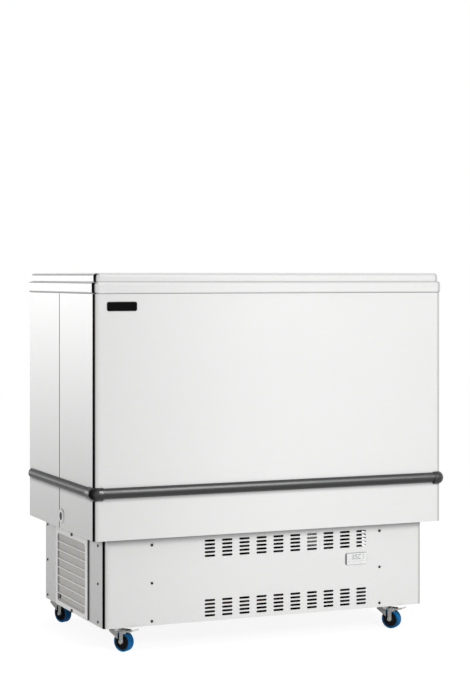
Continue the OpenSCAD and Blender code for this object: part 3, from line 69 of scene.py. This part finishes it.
makeCamera(cameraSetup)
print("camera placed")

# Small helpers that keep the materials' nodes short to write

noiseSpan = (0.3, 0.7)         # where nearly all of a noise's values lie
jointSetup = {
    "samples": 12,
    "open": (0.5, 0.87),       # free share of the view where a joint is darkest, and where its edge ends
}


def newShader(name, color, roughness, metal=0.0):
    material = bpy.data.materials.new(name)
    material.use_nodes = True
    material.diffuse_color = (*color, 1)
    surface = material.node_tree.nodes["Principled BSDF"]
    surface.inputs["Base Color"].default_value = (*color, 1)
    surface.inputs["Roughness"].default_value = roughness
    surface.inputs["Metallic"].default_value = metal
    return material, material.node_tree, surface


def addNode(tree, kind, inputs=None, **settings):
    node = tree.nodes.new(kind)
    for key, value in settings.items():
        setattr(node, key, value)
    for key, value in (inputs or {}).items():
        if isinstance(value, bpy.types.NodeSocket):
            tree.links.new(value, node.inputs[key])
        else:
            node.inputs[key].default_value = value
    return node


def mathNode(tree, operation, first, second=None):
    inputs = {0: first}
    if second is not None:
        inputs[1] = second
    return addNode(tree, "ShaderNodeMath", inputs, operation=operation).outputs[0]


def objectPlace(tree):
    return addNode(tree, "ShaderNodeTexCoord").outputs["Object"]


def splitAxes(tree, vector):
    return addNode(tree, "ShaderNodeSeparateXYZ", {"Vector": vector}).outputs


def noiseValue(tree, scale, stretch=(1, 1, 1), detail=3.0):
    place = {"Vector": objectPlace(tree), "Scale": stretch}
    mapped = addNode(tree, "ShaderNodeMapping", place).outputs[0]
    noise = {"Vector": mapped, "Scale": scale, "Detail": detail}
    return addNode(tree, "ShaderNodeTexNoise", noise).outputs["Fac"]


def remap(tree, value, low, high, toLow, toHigh, smooth=False):
    kind = "SMOOTHSTEP" if smooth else "LINEAR"
    inputs = {"Value": value, "From Min": low, "From Max": high, "To Min": toLow, "To Max": toHigh}
    return addNode(tree, "ShaderNodeMapRange", inputs, interpolation_type=kind).outputs["Result"]


def mixNumber(tree, factor, first, second):
    return addNode(tree, "ShaderNodeMix", {0: factor, 2: first, 3: second}).outputs[0]


def mixColor(tree, factor, first, second, blend="MIX"):
    node = addNode(tree, "ShaderNodeMix", data_type="RGBA", blend_type=blend)
    for socket, value in ((node.inputs[0], factor), (node.inputs[6], first), (node.inputs[7], second)):
        if isinstance(value, bpy.types.NodeSocket):
            tree.links.new(value, socket)
        elif isinstance(value, tuple):
            socket.default_value = (*value, 1)
        else:
            socket.default_value = value
    return node.outputs[2]


def setTone(tree, surface, tone):
    tree.links.new(tone, surface.inputs["Base Color"])


def addBump(tree, surface, height, strength, depth):
    bump = addNode(tree, "ShaderNodeBump", {"Height": height, "Strength": strength, "Distance": depth})
    tree.links.new(bump.outputs["Normal"], surface.inputs["Normal"])


def shade(color, factor):
    return tuple(c * factor for c in color)


def variedTone(tree, noise, color, tones, span=noiseSpan):
    return mixColor(tree, remap(tree, noise, *span, 0, 1), shade(color, tones[0]), shade(color, tones[1]))


def varyRoughness(tree, surface, noise, roughness, spread, span=noiseSpan):
    value = remap(tree, noise, *span, roughness + spread[0], roughness + spread[1])
    tree.links.new(value, surface.inputs["Roughness"])


# Painted shade: darkens a tone where nearby surfaces close in, by ambient occlusion
def jointShade(tree, tone, reach, deepest):
    near = addNode(tree, "ShaderNodeAmbientOcclusion", {"Distance": reach}, samples=jointSetup["samples"])
    depth = remap(tree, near.outputs["AO"], *jointSetup["open"], deepest, 1.0)
    return mixColor(tree, 1.0, tone, depth, "MULTIPLY")


# Satin stainless sheet of the body, rim, plinth, tub and lids

steelLook = {
    "color": (0.83, 0.83, 0.825),
    "metal": 0.55,             # the rest scatters like fine satin
    "tones": (0.985, 1.01),
    "toneSpan": (0.35, 0.65),
    "roughFlat": 0.2,          # satin faces
    "roughBend": 0.06,         # upright bends, drawn smooth by the press
    "bendSpan": (0.06, 0.2),
    "grainAcross": 2600,       # brush lines, counted up the sheet
    "grainAlong": 12,
    "grainRough": 0.03,
    "grainBump": 0.03,
    "grainDepth": 0.1 * mm,
    "cloudScale": 2.2,         # slow unevenness of the sheet
    "cloudStretch": (1, 1, 1.4),
    "cloudRough": 0.015,
    "jointReach": 0.03,        # how far the painted shade at a joint reaches, and how dark it gets
    "jointDepth": 0.08,
    "rimFrom": (0.874, 0.880),           # the painted joint shade is eased from here up, over the rim
    "rimEase": 0.7,
    "barShade": (0.3795, 0.3895, 0.45),  # painted shadow under the bumper: from, to, tone at the bar
    "outerFace": (0.48, 0.27),           # a face beyond this, sideways or lengthways, is the outer sheet's
    "seamAt": (0.0, 0.0028),   # middle and half width of the painted shade along the seam up the sides
    "seamSoft": 0.15,          # share of the half width over which its edge fades, each way
    "seamFace": 0.484,         # only the outer sides carry it
    "seamBand": (0.288, 0.890),
    "seamTone": 0.18,
}


def uprightBend(tree, span):
    # 1 on upright bends, whose normals point between the front and a side, and 0 on the faces
    across, along, up = splitAxes(tree, addNode(tree, "ShaderNodeTexCoord").outputs["Normal"])
    diagonal = mathNode(tree, "ABSOLUTE", mathNode(tree, "MULTIPLY", across, along))
    level = mathNode(tree, "SUBTRACT", 1.0, mathNode(tree, "MULTIPLY", up, up))
    level = mathNode(tree, "MAXIMUM", level, 0.02)     # never divides by zero on a flat top
    return remap(tree, mathNode(tree, "DIVIDE", diagonal, level), *span, 0, 1, True)


# Painted shadow on the outer sheet just under the bumper bars
def barShadow(tree, tone, place, look):
    across, along, up = splitAxes(tree, place)
    low, high, deepest = look["barShade"]
    below = remap(tree, up, low, high, 1.0, deepest)
    above = mathNode(tree, "GREATER_THAN", up, high)
    farAcross, farAlong = look["outerFace"]
    inside = mathNode(tree, "MULTIPLY",
                      mathNode(tree, "LESS_THAN", mathNode(tree, "ABSOLUTE", across), farAcross),
                      mathNode(tree, "LESS_THAN", mathNode(tree, "ABSOLUTE", along), farAlong))
    plain = mathNode(tree, "MAXIMUM", above, inside)
    return mixColor(tree, 1.0, tone, mathNode(tree, "MAXIMUM", below, plain), "MULTIPLY")


# Painted shade along the seam up the outer sides
def sideSeam(tree, tone, place, look):
    across, along, up = splitAxes(tree, place)
    middle, half = look["seamAt"]
    offset = mathNode(tree, "ABSOLUTE", mathNode(tree, "SUBTRACT", along, middle))
    line = remap(tree, offset, half * (1 + look["seamSoft"]), half * (1 - look["seamSoft"]), 0, 1)
    outside = mathNode(tree, "GREATER_THAN", mathNode(tree, "ABSOLUTE", across), look["seamFace"])
    low, high = look["seamBand"]
    between = mathNode(tree, "MULTIPLY", mathNode(tree, "GREATER_THAN", up, low),
                       mathNode(tree, "LESS_THAN", up, high))
    line = mathNode(tree, "MULTIPLY", line, mathNode(tree, "MULTIPLY", outside, between))
    return mixColor(tree, line, tone, (look["seamTone"],) * 3)


def satinSteel(name, look, tint=1.0):
    color = shade(look["color"], tint)
    flat, grainRough, cloudRough = look["roughFlat"], look["grainRough"], look["cloudRough"]
    material, tree, surface = newShader(name, color, flat, look["metal"])
    grain = noiseValue(tree, 1, (look["grainAlong"], look["grainAlong"], look["grainAcross"]), 2)
    cloud = noiseValue(tree, look["cloudScale"], look["cloudStretch"])
    rough = mathNode(tree, "ADD", remap(tree, grain, *noiseSpan, flat - grainRough, flat + grainRough),
                     remap(tree, cloud, *noiseSpan, -cloudRough, cloudRough))
    bend = uprightBend(tree, look["bendSpan"])
    tree.links.new(mixNumber(tree, bend, rough, look["roughBend"]), surface.inputs["Roughness"])
    tree.links.new(mixNumber(tree, bend, look["metal"], 1.0), surface.inputs["Metallic"])
    tone = variedTone(tree, grain, color, look["tones"], look["toneSpan"])
    # Painted shade in the tone: at joints (eased over the rim), under the bumper bars and along the seam up
    # the sides
    shadedJoints = jointShade(tree, tone, look["jointReach"], look["jointDepth"])
    place = objectPlace(tree)
    ease = remap(tree, splitAxes(tree, place)[2], *look["rimFrom"], 0, look["rimEase"])
    tone = mixColor(tree, ease, shadedJoints, tone)
    tone = barShadow(tree, tone, place, look)
    setTone(tree, surface, sideSeam(tree, tone, place, look))
    addBump(tree, surface, grain, look["grainBump"], look["grainDepth"])
    return material


# Moulded plastics, with an optional clear sheen of its own index and roughness

mouldedLook = {
    "grain": 900,
    "bump": 0.12,
    "depth": 0.2 * mm,
    "mottle": 25,
    "tones": (0.92, 1.08),
    "rough": (-0.04, 0.04),
}


def mouldedPlastic(name, color, roughness, specular=0.5, sheen=None):
    look = mouldedLook
    material, tree, surface = newShader(name, color, roughness)
    surface.inputs["Specular IOR Level"].default_value = specular
    if sheen:
        surface.inputs["Coat Weight"].default_value = 1.0
        surface.inputs["Coat IOR"].default_value = sheen[0]
        surface.inputs["Coat Roughness"].default_value = sheen[1]
    grain = noiseValue(tree, look["grain"], detail=2)
    mottle = noiseValue(tree, look["mottle"], detail=4)
    setTone(tree, surface, variedTone(tree, mottle, color, look["tones"]))
    varyRoughness(tree, surface, mottle, roughness, look["rough"])
    addBump(tree, surface, grain, look["bump"], look["depth"])
    return material


# Powder coat of the grille panel and compressor; faces that look forward can take a tone of painted shade

coatLook = {
    "peel": 420,
    "bump": 0.1,
    "depth": 0.2 * mm,
    "drift": 6,
    "tones": (0.97, 1.02),
    "paintedShadeFacing": (-0.6, -0.9),
}


def powderCoat(name, color, roughness=0.45, edge=None):
    look = coatLook
    material, tree, surface = newShader(name, color, roughness)
    peel = noiseValue(tree, look["peel"], detail=1)
    tone = variedTone(tree, noiseValue(tree, look["drift"]), color, look["tones"])
    # Painted shade: forward-facing faces take the given dark tone
    if edge:
        forward = splitAxes(tree, addNode(tree, "ShaderNodeTexCoord").outputs["Normal"])[1]
        tone = mixColor(tree, remap(tree, forward, *look["paintedShadeFacing"], 0, 1), tone, edge)
    setTone(tree, surface, tone)
    addBump(tree, surface, peel, look["bump"], look["depth"])
    return material


# Zinc on the inner frame and casters: spangle in the gloss, stains in the tone

zincLook = {
    "stain": 30,
    "stainSpan": (0.35, 0.75),
    "tones": (1.05, 0.8),
    "rough": (-0.05, 0.1),
}


def zincPlate(name, color, roughness, spangle=60, metal=1.0):
    look = zincLook
    material, tree, surface = newShader(name, color, roughness, metal)
    cells = addNode(tree, "ShaderNodeTexVoronoi", {"Vector": objectPlace(tree), "Scale": spangle})
    cellTone = addNode(tree, "ShaderNodeSeparateColor", {0: cells.outputs["Color"]}).outputs[0]
    stain = noiseValue(tree, look["stain"], detail=5)
    setTone(tree, surface, variedTone(tree, stain, color, look["tones"], look["stainSpan"]))
    varyRoughness(tree, surface, cellTone, roughness, look["rough"], (0, 1))
    return material


# Thermostat's plastics: a plain face with one band of another tone across its width

controllerLook = {
    "paintedShadeTo": 0.2228,          # painted shade fills the left end of the bezel
    "paintedShadeTone": (0.09, 0.09, 0.09),
    "frameFrom": 0.2702,       # grey line at the right of the window
    "frameTo": 0.2718,
    "frameTone": (0.42, 0.42, 0.42),
    "mottle": 60,
    "tones": (0.97, 1.02),
    "grain": 1400,
    "bump": 0.08,
    "depth": 0.1 * mm,
}


def panelPlastic(name, color, roughness, low, high, bandTone):
    look = controllerLook
    material, tree, surface = newShader(name, color, roughness)
    across = splitAxes(tree, objectPlace(tree))[0]
    inside = mathNode(tree, "MULTIPLY", mathNode(tree, "GREATER_THAN", across, low),
                      mathNode(tree, "LESS_THAN", across, high))
    plain = variedTone(tree, noiseValue(tree, look["mottle"]), color, look["tones"])
    setTone(tree, surface, mixColor(tree, inside, plain, bandTone))
    addBump(tree, surface, noiseValue(tree, look["grain"]), look["bump"], look["depth"])
    return material


# Netting of the dust filter, woven lengthways and upwards

netLook = {
    "pitch": 2.4 * mm,
    "thread": (0.62, 0.61, 0.59),
    "hole": (0.43, 0.42, 0.4),
    "threadSpan": (0.2, 0.8),
    "dust": 26,
    "dustSpan": (0.4, 0.75),
    "dustMost": 0.35,
    "dustShade": 0.85,
    "roughness": 0.7,
    "specular": 0.2,
    "bump": 0.5,
    "depth": 0.4 * mm,
}


def filterNet(name, look):
    material, tree, surface = newShader(name, look["thread"], look["roughness"])
    surface.inputs["Specular IOR Level"].default_value = look["specular"]
    across, along, up = splitAxes(tree, objectPlace(tree))
    waves = []
    for way in (along, up):
        turn = mathNode(tree, "MULTIPLY", way, 2 * math.pi / look["pitch"])
        waves.append(remap(tree, mathNode(tree, "SINE", turn), *look["threadSpan"], 0, 1))
    weave = mathNode(tree, "MAXIMUM", *waves)
    dust = remap(tree, noiseValue(tree, look["dust"], detail=4), *look["dustSpan"], 0, look["dustMost"])
    tone = mixColor(tree, weave, look["hole"], look["thread"])
    setTone(tree, surface, mixColor(tree, dust, tone, shade(look["thread"], look["dustShade"])))
    addBump(tree, surface, weave, look["bump"], look["depth"])
    return material


# Blue rubber of the tyres, lighter where it is worn and darker where it is dirty

rubberLook = {
    "color": (0.0004, 0.085, 0.24),
    "worn": (0.0002, 0.15, 0.42),
    "roughness": 0.42,
    "rough": (-0.08, 0.13),
    "specular": 0.12,
    "patches": 45,
    "patchSpan": (0.42, 0.62),
    "grime": 130,
    "grimeSpan": (0.55, 0.8),
    "grimeMost": 0.5,
    "grimeShade": 0.4,
    "bump": 0.15,
    "depth": 0.3 * mm,
}


def blueRubber(name, look):
    material, tree, surface = newShader(name, look["color"], look["roughness"])
    surface.inputs["Specular IOR Level"].default_value = look["specular"]
    grime = noiseValue(tree, look["grime"], detail=5)
    patches = remap(tree, noiseValue(tree, look["patches"], detail=2), *look["patchSpan"], 0, 1, True)
    tone = mixColor(tree, patches, look["color"], look["worn"])
    dirt = remap(tree, grime, *look["grimeSpan"], 0, look["grimeMost"])
    setTone(tree, surface, mixColor(tree, dirt, tone, shade(look["color"], look["grimeShade"])))
    varyRoughness(tree, surface, grime, look["roughness"], look["rough"])
    addBump(tree, surface, grime, look["bump"], look["depth"])
    return material


# Bare metals, drawn or cast

metalLook = {
    "grain": 180,
    "tones": (0.88, 1.04),
    "rough": (-0.06, 0.08),
}


def bareMetal(name, color, roughness, streak=(1, 1, 1)):
    look = metalLook
    material, tree, surface = newShader(name, color, roughness, 1.0)
    grain = noiseValue(tree, look["grain"], streak)
    setTone(tree, surface, variedTone(tree, grain, color, look["tones"]))
    varyRoughness(tree, surface, grain, roughness, look["rough"])
    return material


# Rigid foam, where a joint lets it show

foamLook = {
    "color": (0.5, 0.42, 0.22),
    "roughness": 0.85,
    "cells": 260,
    "tones": (0.85, 1.05),
    "jointReach": 0.01,
    "jointDepth": 0.02,
    "bump": 0.5,
    "depth": 1 * mm,
}


def foamSkin(name, look):
    material, tree, surface = newShader(name, look["color"], look["roughness"])
    cells = noiseValue(tree, look["cells"])
    tone = variedTone(tree, cells, look["color"], look["tones"])
    # Painted shade: the foam darkens where a joint closes in around it
    setTone(tree, surface, jointShade(tree, tone, look["jointReach"], look["jointDepth"]))
    addBump(tree, surface, cells, look["bump"], look["depth"])
    return material


# One finish for each of the record's material slots

bumperGrey = mouldedPlastic("bumperGrey", (0.01, 0.01, 0.011), 0.42, 0.3, sheen=(1.48, 0.4))
cornerGrey = mouldedPlastic("bumperCornerGrey", (0.008, 0.008, 0.009), 0.34, 0.3, sheen=(1.5, 0.22))
# The light panel's dark band at the left end of the bezel is painted shade
controllerLight = panelPlastic("controllerLight", (0.8, 0.8, 0.8), 0.35,
                               0.0, controllerLook["paintedShadeTo"], controllerLook["paintedShadeTone"])
displayPale = panelPlastic("displayPale", (0.76, 0.77, 0.77), 0.2,
                           controllerLook["frameFrom"], controllerLook["frameTo"],
                           controllerLook["frameTone"])

finishes = {
    "stainless": satinSteel("satinSteel", steelLook),
    "liner_steel": satinSteel("tubSteel", steelLook, 0.97),
    "lid_steel": satinSteel("lidSteel", steelLook, 0.98),
    # The grille panel's forward-facing walls get painted shade
    "grille_steel": powderCoat("lightGreyCoat", (0.86, 0.86, 0.85), edge=(0.05, 0.05, 0.05)),
    "zinc_steel": zincPlate("galvanisedSheet", (0.12, 0.12, 0.12), 0.5),
    "foam": foamSkin("insulationFoam", foamLook),
    "copper": bareMetal("drawnCopper", (0.6, 0.34, 0.22), 0.35),
    "track_plastic": mouldedPlastic("darkTrack", (0.035, 0.035, 0.038), 0.42),
    "bumper_plastic": bumperGrey,
    "bumper_corner_plastic": cornerGrey,
    "plate_black": mouldedPlastic("plateBlack", (0.002, 0.002, 0.002), 0.4, 0.08),
    "drain_white": mouldedPlastic("drainWhite", (0.82, 0.82, 0.82), 0.3),
    "stopper_grey": mouldedPlastic("stopperGrey", (0.05, 0.05, 0.05), 0.6),
    "filter_mesh": filterNet("filterNet", netLook),
    "screw_dark": bareMetal("darkScrew", (0.015, 0.015, 0.015), 0.4),
    "knob_black": mouldedPlastic("knobBlack", (0.012, 0.012, 0.012), 0.35),
    "controller_light": controllerLight,
    "display": displayPale,
    "compressor_black": powderCoat("compressorBlack", (0.015, 0.015, 0.016), 0.3),
    "mount_rubber": mouldedPlastic("mountRubber", (0.02, 0.02, 0.02), 0.7),
    "relay_plastic": mouldedPlastic("relayCream", (0.62, 0.61, 0.57), 0.5),
    "condenser_alu": bareMetal("finAluminium", (0.72, 0.72, 0.72), 0.35, (1, 1, 6)),
    "shroud_plastic": mouldedPlastic("shroudBlack", (0.02, 0.02, 0.02), 0.5),
    "motor_metal": bareMetal("castAluminium", (0.55, 0.55, 0.55), 0.45),
    "inlet_black": mouldedPlastic("inletBlack", (0.02, 0.02, 0.02), 0.45),
    "caster_zinc": zincPlate("brightZinc", (0.80, 0.81, 0.78), 0.2, 240, 0.5),
    "hub_black": mouldedPlastic("hubBlack", (0.012, 0.012, 0.014), 0.4),
    "tyre_blue": blueRubber("blueRubber", rubberLook),
}
creaseFrom = 28                # degrees; gentler bends are shaded smooth


def assignFinishes():
    slotOf = {part["node"]: part["material_slot"] for part in frame["record"]["subparts"]}
    for name, thing in nodes.items():
        thing.data.materials.clear()
        thing.data.materials.append(finishes[slotOf[name]])
        thing.data.shade_smooth()
        thing.data.set_sharp_from_angle(angle=math.radians(creaseFrom))


assignFinishes()
print("finishes assigned")

# Small pieces that the solids leave plain: figures on the display, and crosses in the screws, dark as
# painted shade of their recessed drives


def placePiece(name, mesh, material, body):
    mesh.materials.append(material)
    piece = bpy.data.objects.new(name, mesh)
    bpy.context.scene.collection.objects.link(piece)
    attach(piece, body)


def addPrism(build, outline, origin, right, up, out, depth):
    rings = []
    for step in (0.0, depth):
        rings.append([build.verts.new(origin + right * x + up * y + out * step) for x, y in outline])
    build.faces.new(rings[1])
    build.faces.new(list(reversed(rings[0])))
    count = len(outline)
    for i in range(count):
        j = (i + 1) % count
        build.faces.new((rings[0][i], rings[0][j], rings[1][j], rings[1][i]))


def finishMesh(build, name):
    bmesh.ops.recalc_face_normals(build, faces=build.faces)
    mesh = bpy.data.meshes.new(name)
    build.to_mesh(mesh)
    build.free()
    return mesh


figureLook = {
    "shown": "3.5C",
    "height": 10.5 * mm,
    "width": 6.6 * mm,
    "bar": 1.5 * mm,
    "tipGap": 0.2,             # share of half a bar's width left free at each end of it
    "point": 0.6,              # half the point's width, as a share of a bar's
    "pointBack": 0.62,         # how far back into the space between figures the point stands
    "step": 10.6 * mm,
    "slant": 0.1,
    "lift": 0.12 * mm,
    "startRight": 11.5 * mm,
    "tone": (0.2, 0.2, 0.21),
    "roughness": 0.4,
}

# top, upper left, upper right, middle, lower left, lower right, bottom
figureBars = {
    "3": (1, 0, 1, 1, 0, 1, 1),
    "5": (1, 1, 0, 1, 0, 1, 1),
    "C": (1, 1, 0, 0, 1, 0, 1),
}


def barOutline(first, second, bar, tipGap):
    first, second = Vector(first), Vector(second)
    along = (second - first).normalized() * (bar / 2)
    side = Vector((-along.y, along.x))
    a, b = first + along * tipGap, second - along * tipGap
    corners = (a, a + along + side, b - along + side, b, b - along - side, a + along - side)
    return [(corner.x, corner.y) for corner in corners]


def displayFigures(look):
    low, high = (Vector(corner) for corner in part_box("controller_window"))
    build = bmesh.new()
    right, up, out = Vector((1, 0, 0)), Vector((0, 0, 1)), Vector((0, -1, 0))
    w, h = look["width"], look["height"]
    ends = [((0, h), (w, h)), ((0, h / 2), (0, h)), ((w, h / 2), (w, h)), ((0, h / 2), (w, h / 2)),
            ((0, 0), (0, h / 2)), ((w, 0), (w, h / 2)), ((0, 0), (w, 0))]
    start = Vector((low.x + look["startRight"], low.y, (low.z + high.z - h) / 2))
    lean = right * look["slant"]
    for sign in look["shown"]:
        if sign == ".":
            dot = look["bar"] * look["point"]
            outline = [(-dot, 0), (dot, 0), (dot, 2 * dot), (-dot, 2 * dot)]
            corner = start - right * (look["step"] - w) * look["pointBack"]
            addPrism(build, outline, corner, right, up, out, look["lift"])
            continue
        for shown, (first, second) in zip(figureBars[sign], ends):
            if shown:
                outline = barOutline(first, second, look["bar"], look["tipGap"])
                addPrism(build, outline, start, right, up + lean, out, look["lift"])
        start = start + right * look["step"]
    material = mouldedPlastic("figureGrey", look["tone"], look["roughness"])
    placePiece("displayFigures", finishMesh(build, "displayFigures"), material, "cabinet")


crossLook = {
    "reach": 1.45 * mm,
    "half": 0.33 * mm,
    "lift": 0.06 * mm,
    "tone": (0.05, 0.05, 0.05),
    "roughness": 0.5,
    "sideFrom": 0.44,          # screws further out than this hold the side sheets
}


def looseParts(mesh):
    build = bmesh.new()
    build.from_mesh(mesh)
    seen, groups = set(), []
    for vert in build.verts:
        if vert in seen:
            continue
        group, waiting = [], [vert]
        seen.add(vert)
        while waiting:
            current = waiting.pop()
            group.append(current.co.copy())
            for edge in current.link_edges:
                other = edge.other_vert(current)
                if other not in seen:
                    seen.add(other)
                    waiting.append(other)
        groups.append(group)
    build.free()
    return groups


def crossOutline(reach, half):
    outline, corners = [], [(half, reach), (-half, reach), (-half, half)]
    for quarter in range(4):
        outline += corners
        corners = [(-y, x) for x, y in corners]
    return outline


def screwCrosses(look):
    build = bmesh.new()
    up = Vector((0, 0, 1))
    outline = crossOutline(look["reach"], look["half"])
    faces = {}                 # the outermost face at each screw's place
    for group in looseParts(nodes["panel_screws"].data):
        low = Vector([min(p[i] for p in group) for i in range(3)])
        high = Vector([max(p[i] for p in group) for i in range(3)])
        middle = (low + high) / 2
        onSide = abs(middle.x) > look["sideFrom"]
        axis = 0 if onSide else 1
        way = 1 if middle[axis] > 0 else -1
        spot = middle.copy()
        spot[axis] = high[axis] if way > 0 else low[axis]
        key = (axis, way, round(middle.x, 2), round(middle.y, 2), round(middle.z, 2))
        if key in faces and abs(faces[key][0][axis]) >= abs(spot[axis]):
            continue
        out = Vector((way, 0, 0)) if onSide else Vector((0, way, 0))
        faces[key] = (spot, out)
    for spot, out in faces.values():
        addPrism(build, outline, spot, up.cross(out), up, out, look["lift"])
    # Painted shade: the crosses stand proud, dark as the shade inside a recessed drive
    material = bareMetal("crossRecessShade", look["tone"], look["roughness"])
    placePiece("screwCrosses", finishMesh(build, "screwCrosses"), material, "cabinet")
    return len(faces)


displayFigures(figureLook)
print("display figures and", screwCrosses(crossLook), "screw crosses made")

# Studio: what the sheets mirror is given round the horizon and up the sky, in degrees; 0 is straight
# ahead of the cooler and 90 is its left

studio = {
    "ambient": 0.5,
    "around": [(-180, 0.9), (-60, 0.68), (-34, 0.78), (-28, 0.95), (-24, 1.2), (-20, 0.68), (-15, 0.34),
               (-9, 0.42), (-3, 0.78), (25, 0.76), (45, 0.6), (61, 0.3), (66, 0.005), (141, 0.005),
               (146, 1.0), (180, 1.0)],
    "frontRise": [(-90, 0.75), (-45, 0.75), (-28, 0.8), (-18, 0.88), (-9, 0.95), (0, 1.04), (25, 1.0),
                  (45, 0.85), (62, 0.65), (90, 0.6)],
    "sideRise": [(-60, 0.8), (-30, 0.6), (-16, 0.3), (-12, 0.36), (-8, 0.48), (-4, 0.91), (0, 1.48),
                 (3, 2.1), (7, 1.25), (12, 0.4), (18, 0.2), (60, 0.5), (90, 0.6)],
    "sideFrom": 60,            # from here round, the sky follows sideRise
}

# Softboxes; one with a list of pieces lights only those, and shows in their gloss

softboxes = {
    "keySoftbox": {"place": (0.5, -4.4, 2.5), "target": (0, -0.3, 0.5), "size": (1.6, 1.3), "power": 108},
    "fillSoftbox": {"place": (-4.2, -1.2, 1.9), "target": (0, 0, 0.6), "size": (2.0, 2.0), "power": 34},
    "topSoftbox": {"place": (0.2, 0.1, 3.4), "target": (0, 0, 0.9), "size": (2.2, 2.2), "power": 30},
    "barSoftbox": {"place": (1.35, -3.5, 2.5), "target": (-0.05, -0.28, 0.4), "size": (0.5, 2.6),
                   "power": 150, "only": ("bumper_bars", "bumper_corners")},
}


def levelCurve(tree, value, reach, points):
    place = remap(tree, value, -reach, reach, 0, 1)
    ramp = addNode(tree, "ShaderNodeValToRGB", {"Fac": place})
    marks = ramp.color_ramp.elements
    while len(marks) < len(points):
        marks.new(0.5)
    for mark, (angle, level) in zip(marks, points):
        mark.position = (angle + reach) / (2 * reach)
        mark.color = (level, level, level, 1)
    return ramp.outputs["Color"]


def makeWorld(setup):
    world = bpy.data.worlds.new("studio")
    bpy.context.scene.world = world
    world.use_nodes = True
    tree = world.node_tree
    tree.nodes.clear()
    east, north, up = splitAxes(tree, addNode(tree, "ShaderNodeTexCoord").outputs["Generated"])
    back = mathNode(tree, "MULTIPLY", north, -1.0)
    left = mathNode(tree, "MULTIPLY", east, -1.0)
    inDegrees = math.degrees(1)
    around = mathNode(tree, "MULTIPLY", mathNode(tree, "ARCTAN2", left, back), inDegrees)
    rise = mathNode(tree, "MULTIPLY", mathNode(tree, "ARCSINE", up), inDegrees)
    onSide = mathNode(tree, "GREATER_THAN", around, setup["sideFrom"])
    frontLevel = levelCurve(tree, rise, 90, setup["frontRise"])
    sideLevel = levelCurve(tree, rise, 90, setup["sideRise"])
    riseLevel = mixNumber(tree, onSide, frontLevel, sideLevel)
    gloss = mathNode(tree, "MULTIPLY", levelCurve(tree, around, 180, setup["around"]), riseLevel)
    path = addNode(tree, "ShaderNodeLightPath").outputs
    seen = mathNode(tree, "MAXIMUM", path["Is Camera Ray"], path["Is Transmission Ray"])
    light = mixNumber(tree, path["Is Glossy Ray"], setup["ambient"], gloss)
    light = mixNumber(tree, seen, light, 1.0)
    emit = addNode(tree, "ShaderNodeBackground", {"Color": (1, 1, 1, 1), "Strength": light})
    out = addNode(tree, "ShaderNodeOutputWorld")
    tree.links.new(emit.outputs[0], out.inputs["Surface"])


def softbox(name, setup):
    data = bpy.data.lights.new(name, "AREA")
    data.shape = "RECTANGLE"
    data.size, data.size_y = setup["size"]
    data.energy = setup["power"]
    lamp = bpy.data.objects.new(name, data)
    lamp.location = setup["place"]
    way = Vector(setup["target"]) - Vector(setup["place"])
    lamp.rotation_euler = way.to_track_quat("-Z", "Y").to_euler()
    bpy.context.scene.collection.objects.link(lamp)
    chosen = setup.get("only")
    lamp.visible_glossy = bool(chosen)
    if chosen:
        lit = bpy.data.collections.new(name + "Only")
        for node in chosen:
            lit.objects.link(nodes[node])
        lamp.light_linking.receiver_collection = lit


# Floor: white where the camera sees it, with the cooler's shadow faintly in it

floorLook = {
    "half": 9.0,
    "share": 0.8,              # share of the even glow in what the camera sees
    "glow": 1.13,
    "tone": 0.9,
}


def makeFloor(look):
    half = look["half"]
    mesh = bpy.data.meshes.new("floor")
    corners = [(-half, -half, 0), (half, -half, 0), (half, half, 0), (-half, half, 0)]
    mesh.from_pydata(corners, [], [(0, 1, 2, 3)])
    floor = bpy.data.objects.new("floor", mesh)
    bpy.context.scene.collection.objects.link(floor)
    material = bpy.data.materials.new("paleFloor")
    material.use_nodes = True
    tree = material.node_tree
    tree.nodes.clear()
    matt = addNode(tree, "ShaderNodeBsdfDiffuse", {"Color": (look["tone"],) * 3 + (1,)}).outputs[0]
    glow = addNode(tree, "ShaderNodeEmission", {"Color": (1, 1, 1, 1), "Strength": look["glow"]}).outputs[0]
    seen = addNode(tree, "ShaderNodeLightPath").outputs["Is Camera Ray"]
    share = mathNode(tree, "MULTIPLY", seen, look["share"])
    mixed = addNode(tree, "ShaderNodeMixShader", {0: share, 1: matt, 2: glow}).outputs[0]
    out = addNode(tree, "ShaderNodeOutputMaterial")
    tree.links.new(mixed, out.inputs["Surface"])
    mesh.materials.append(material)
    floor.visible_glossy = False


makeWorld(studio)
for name, setup in softboxes.items():
    softbox(name, setup)
makeFloor(floorLook)
bpy.context.scene.view_settings.view_transform = "Standard"
print("studio lit")
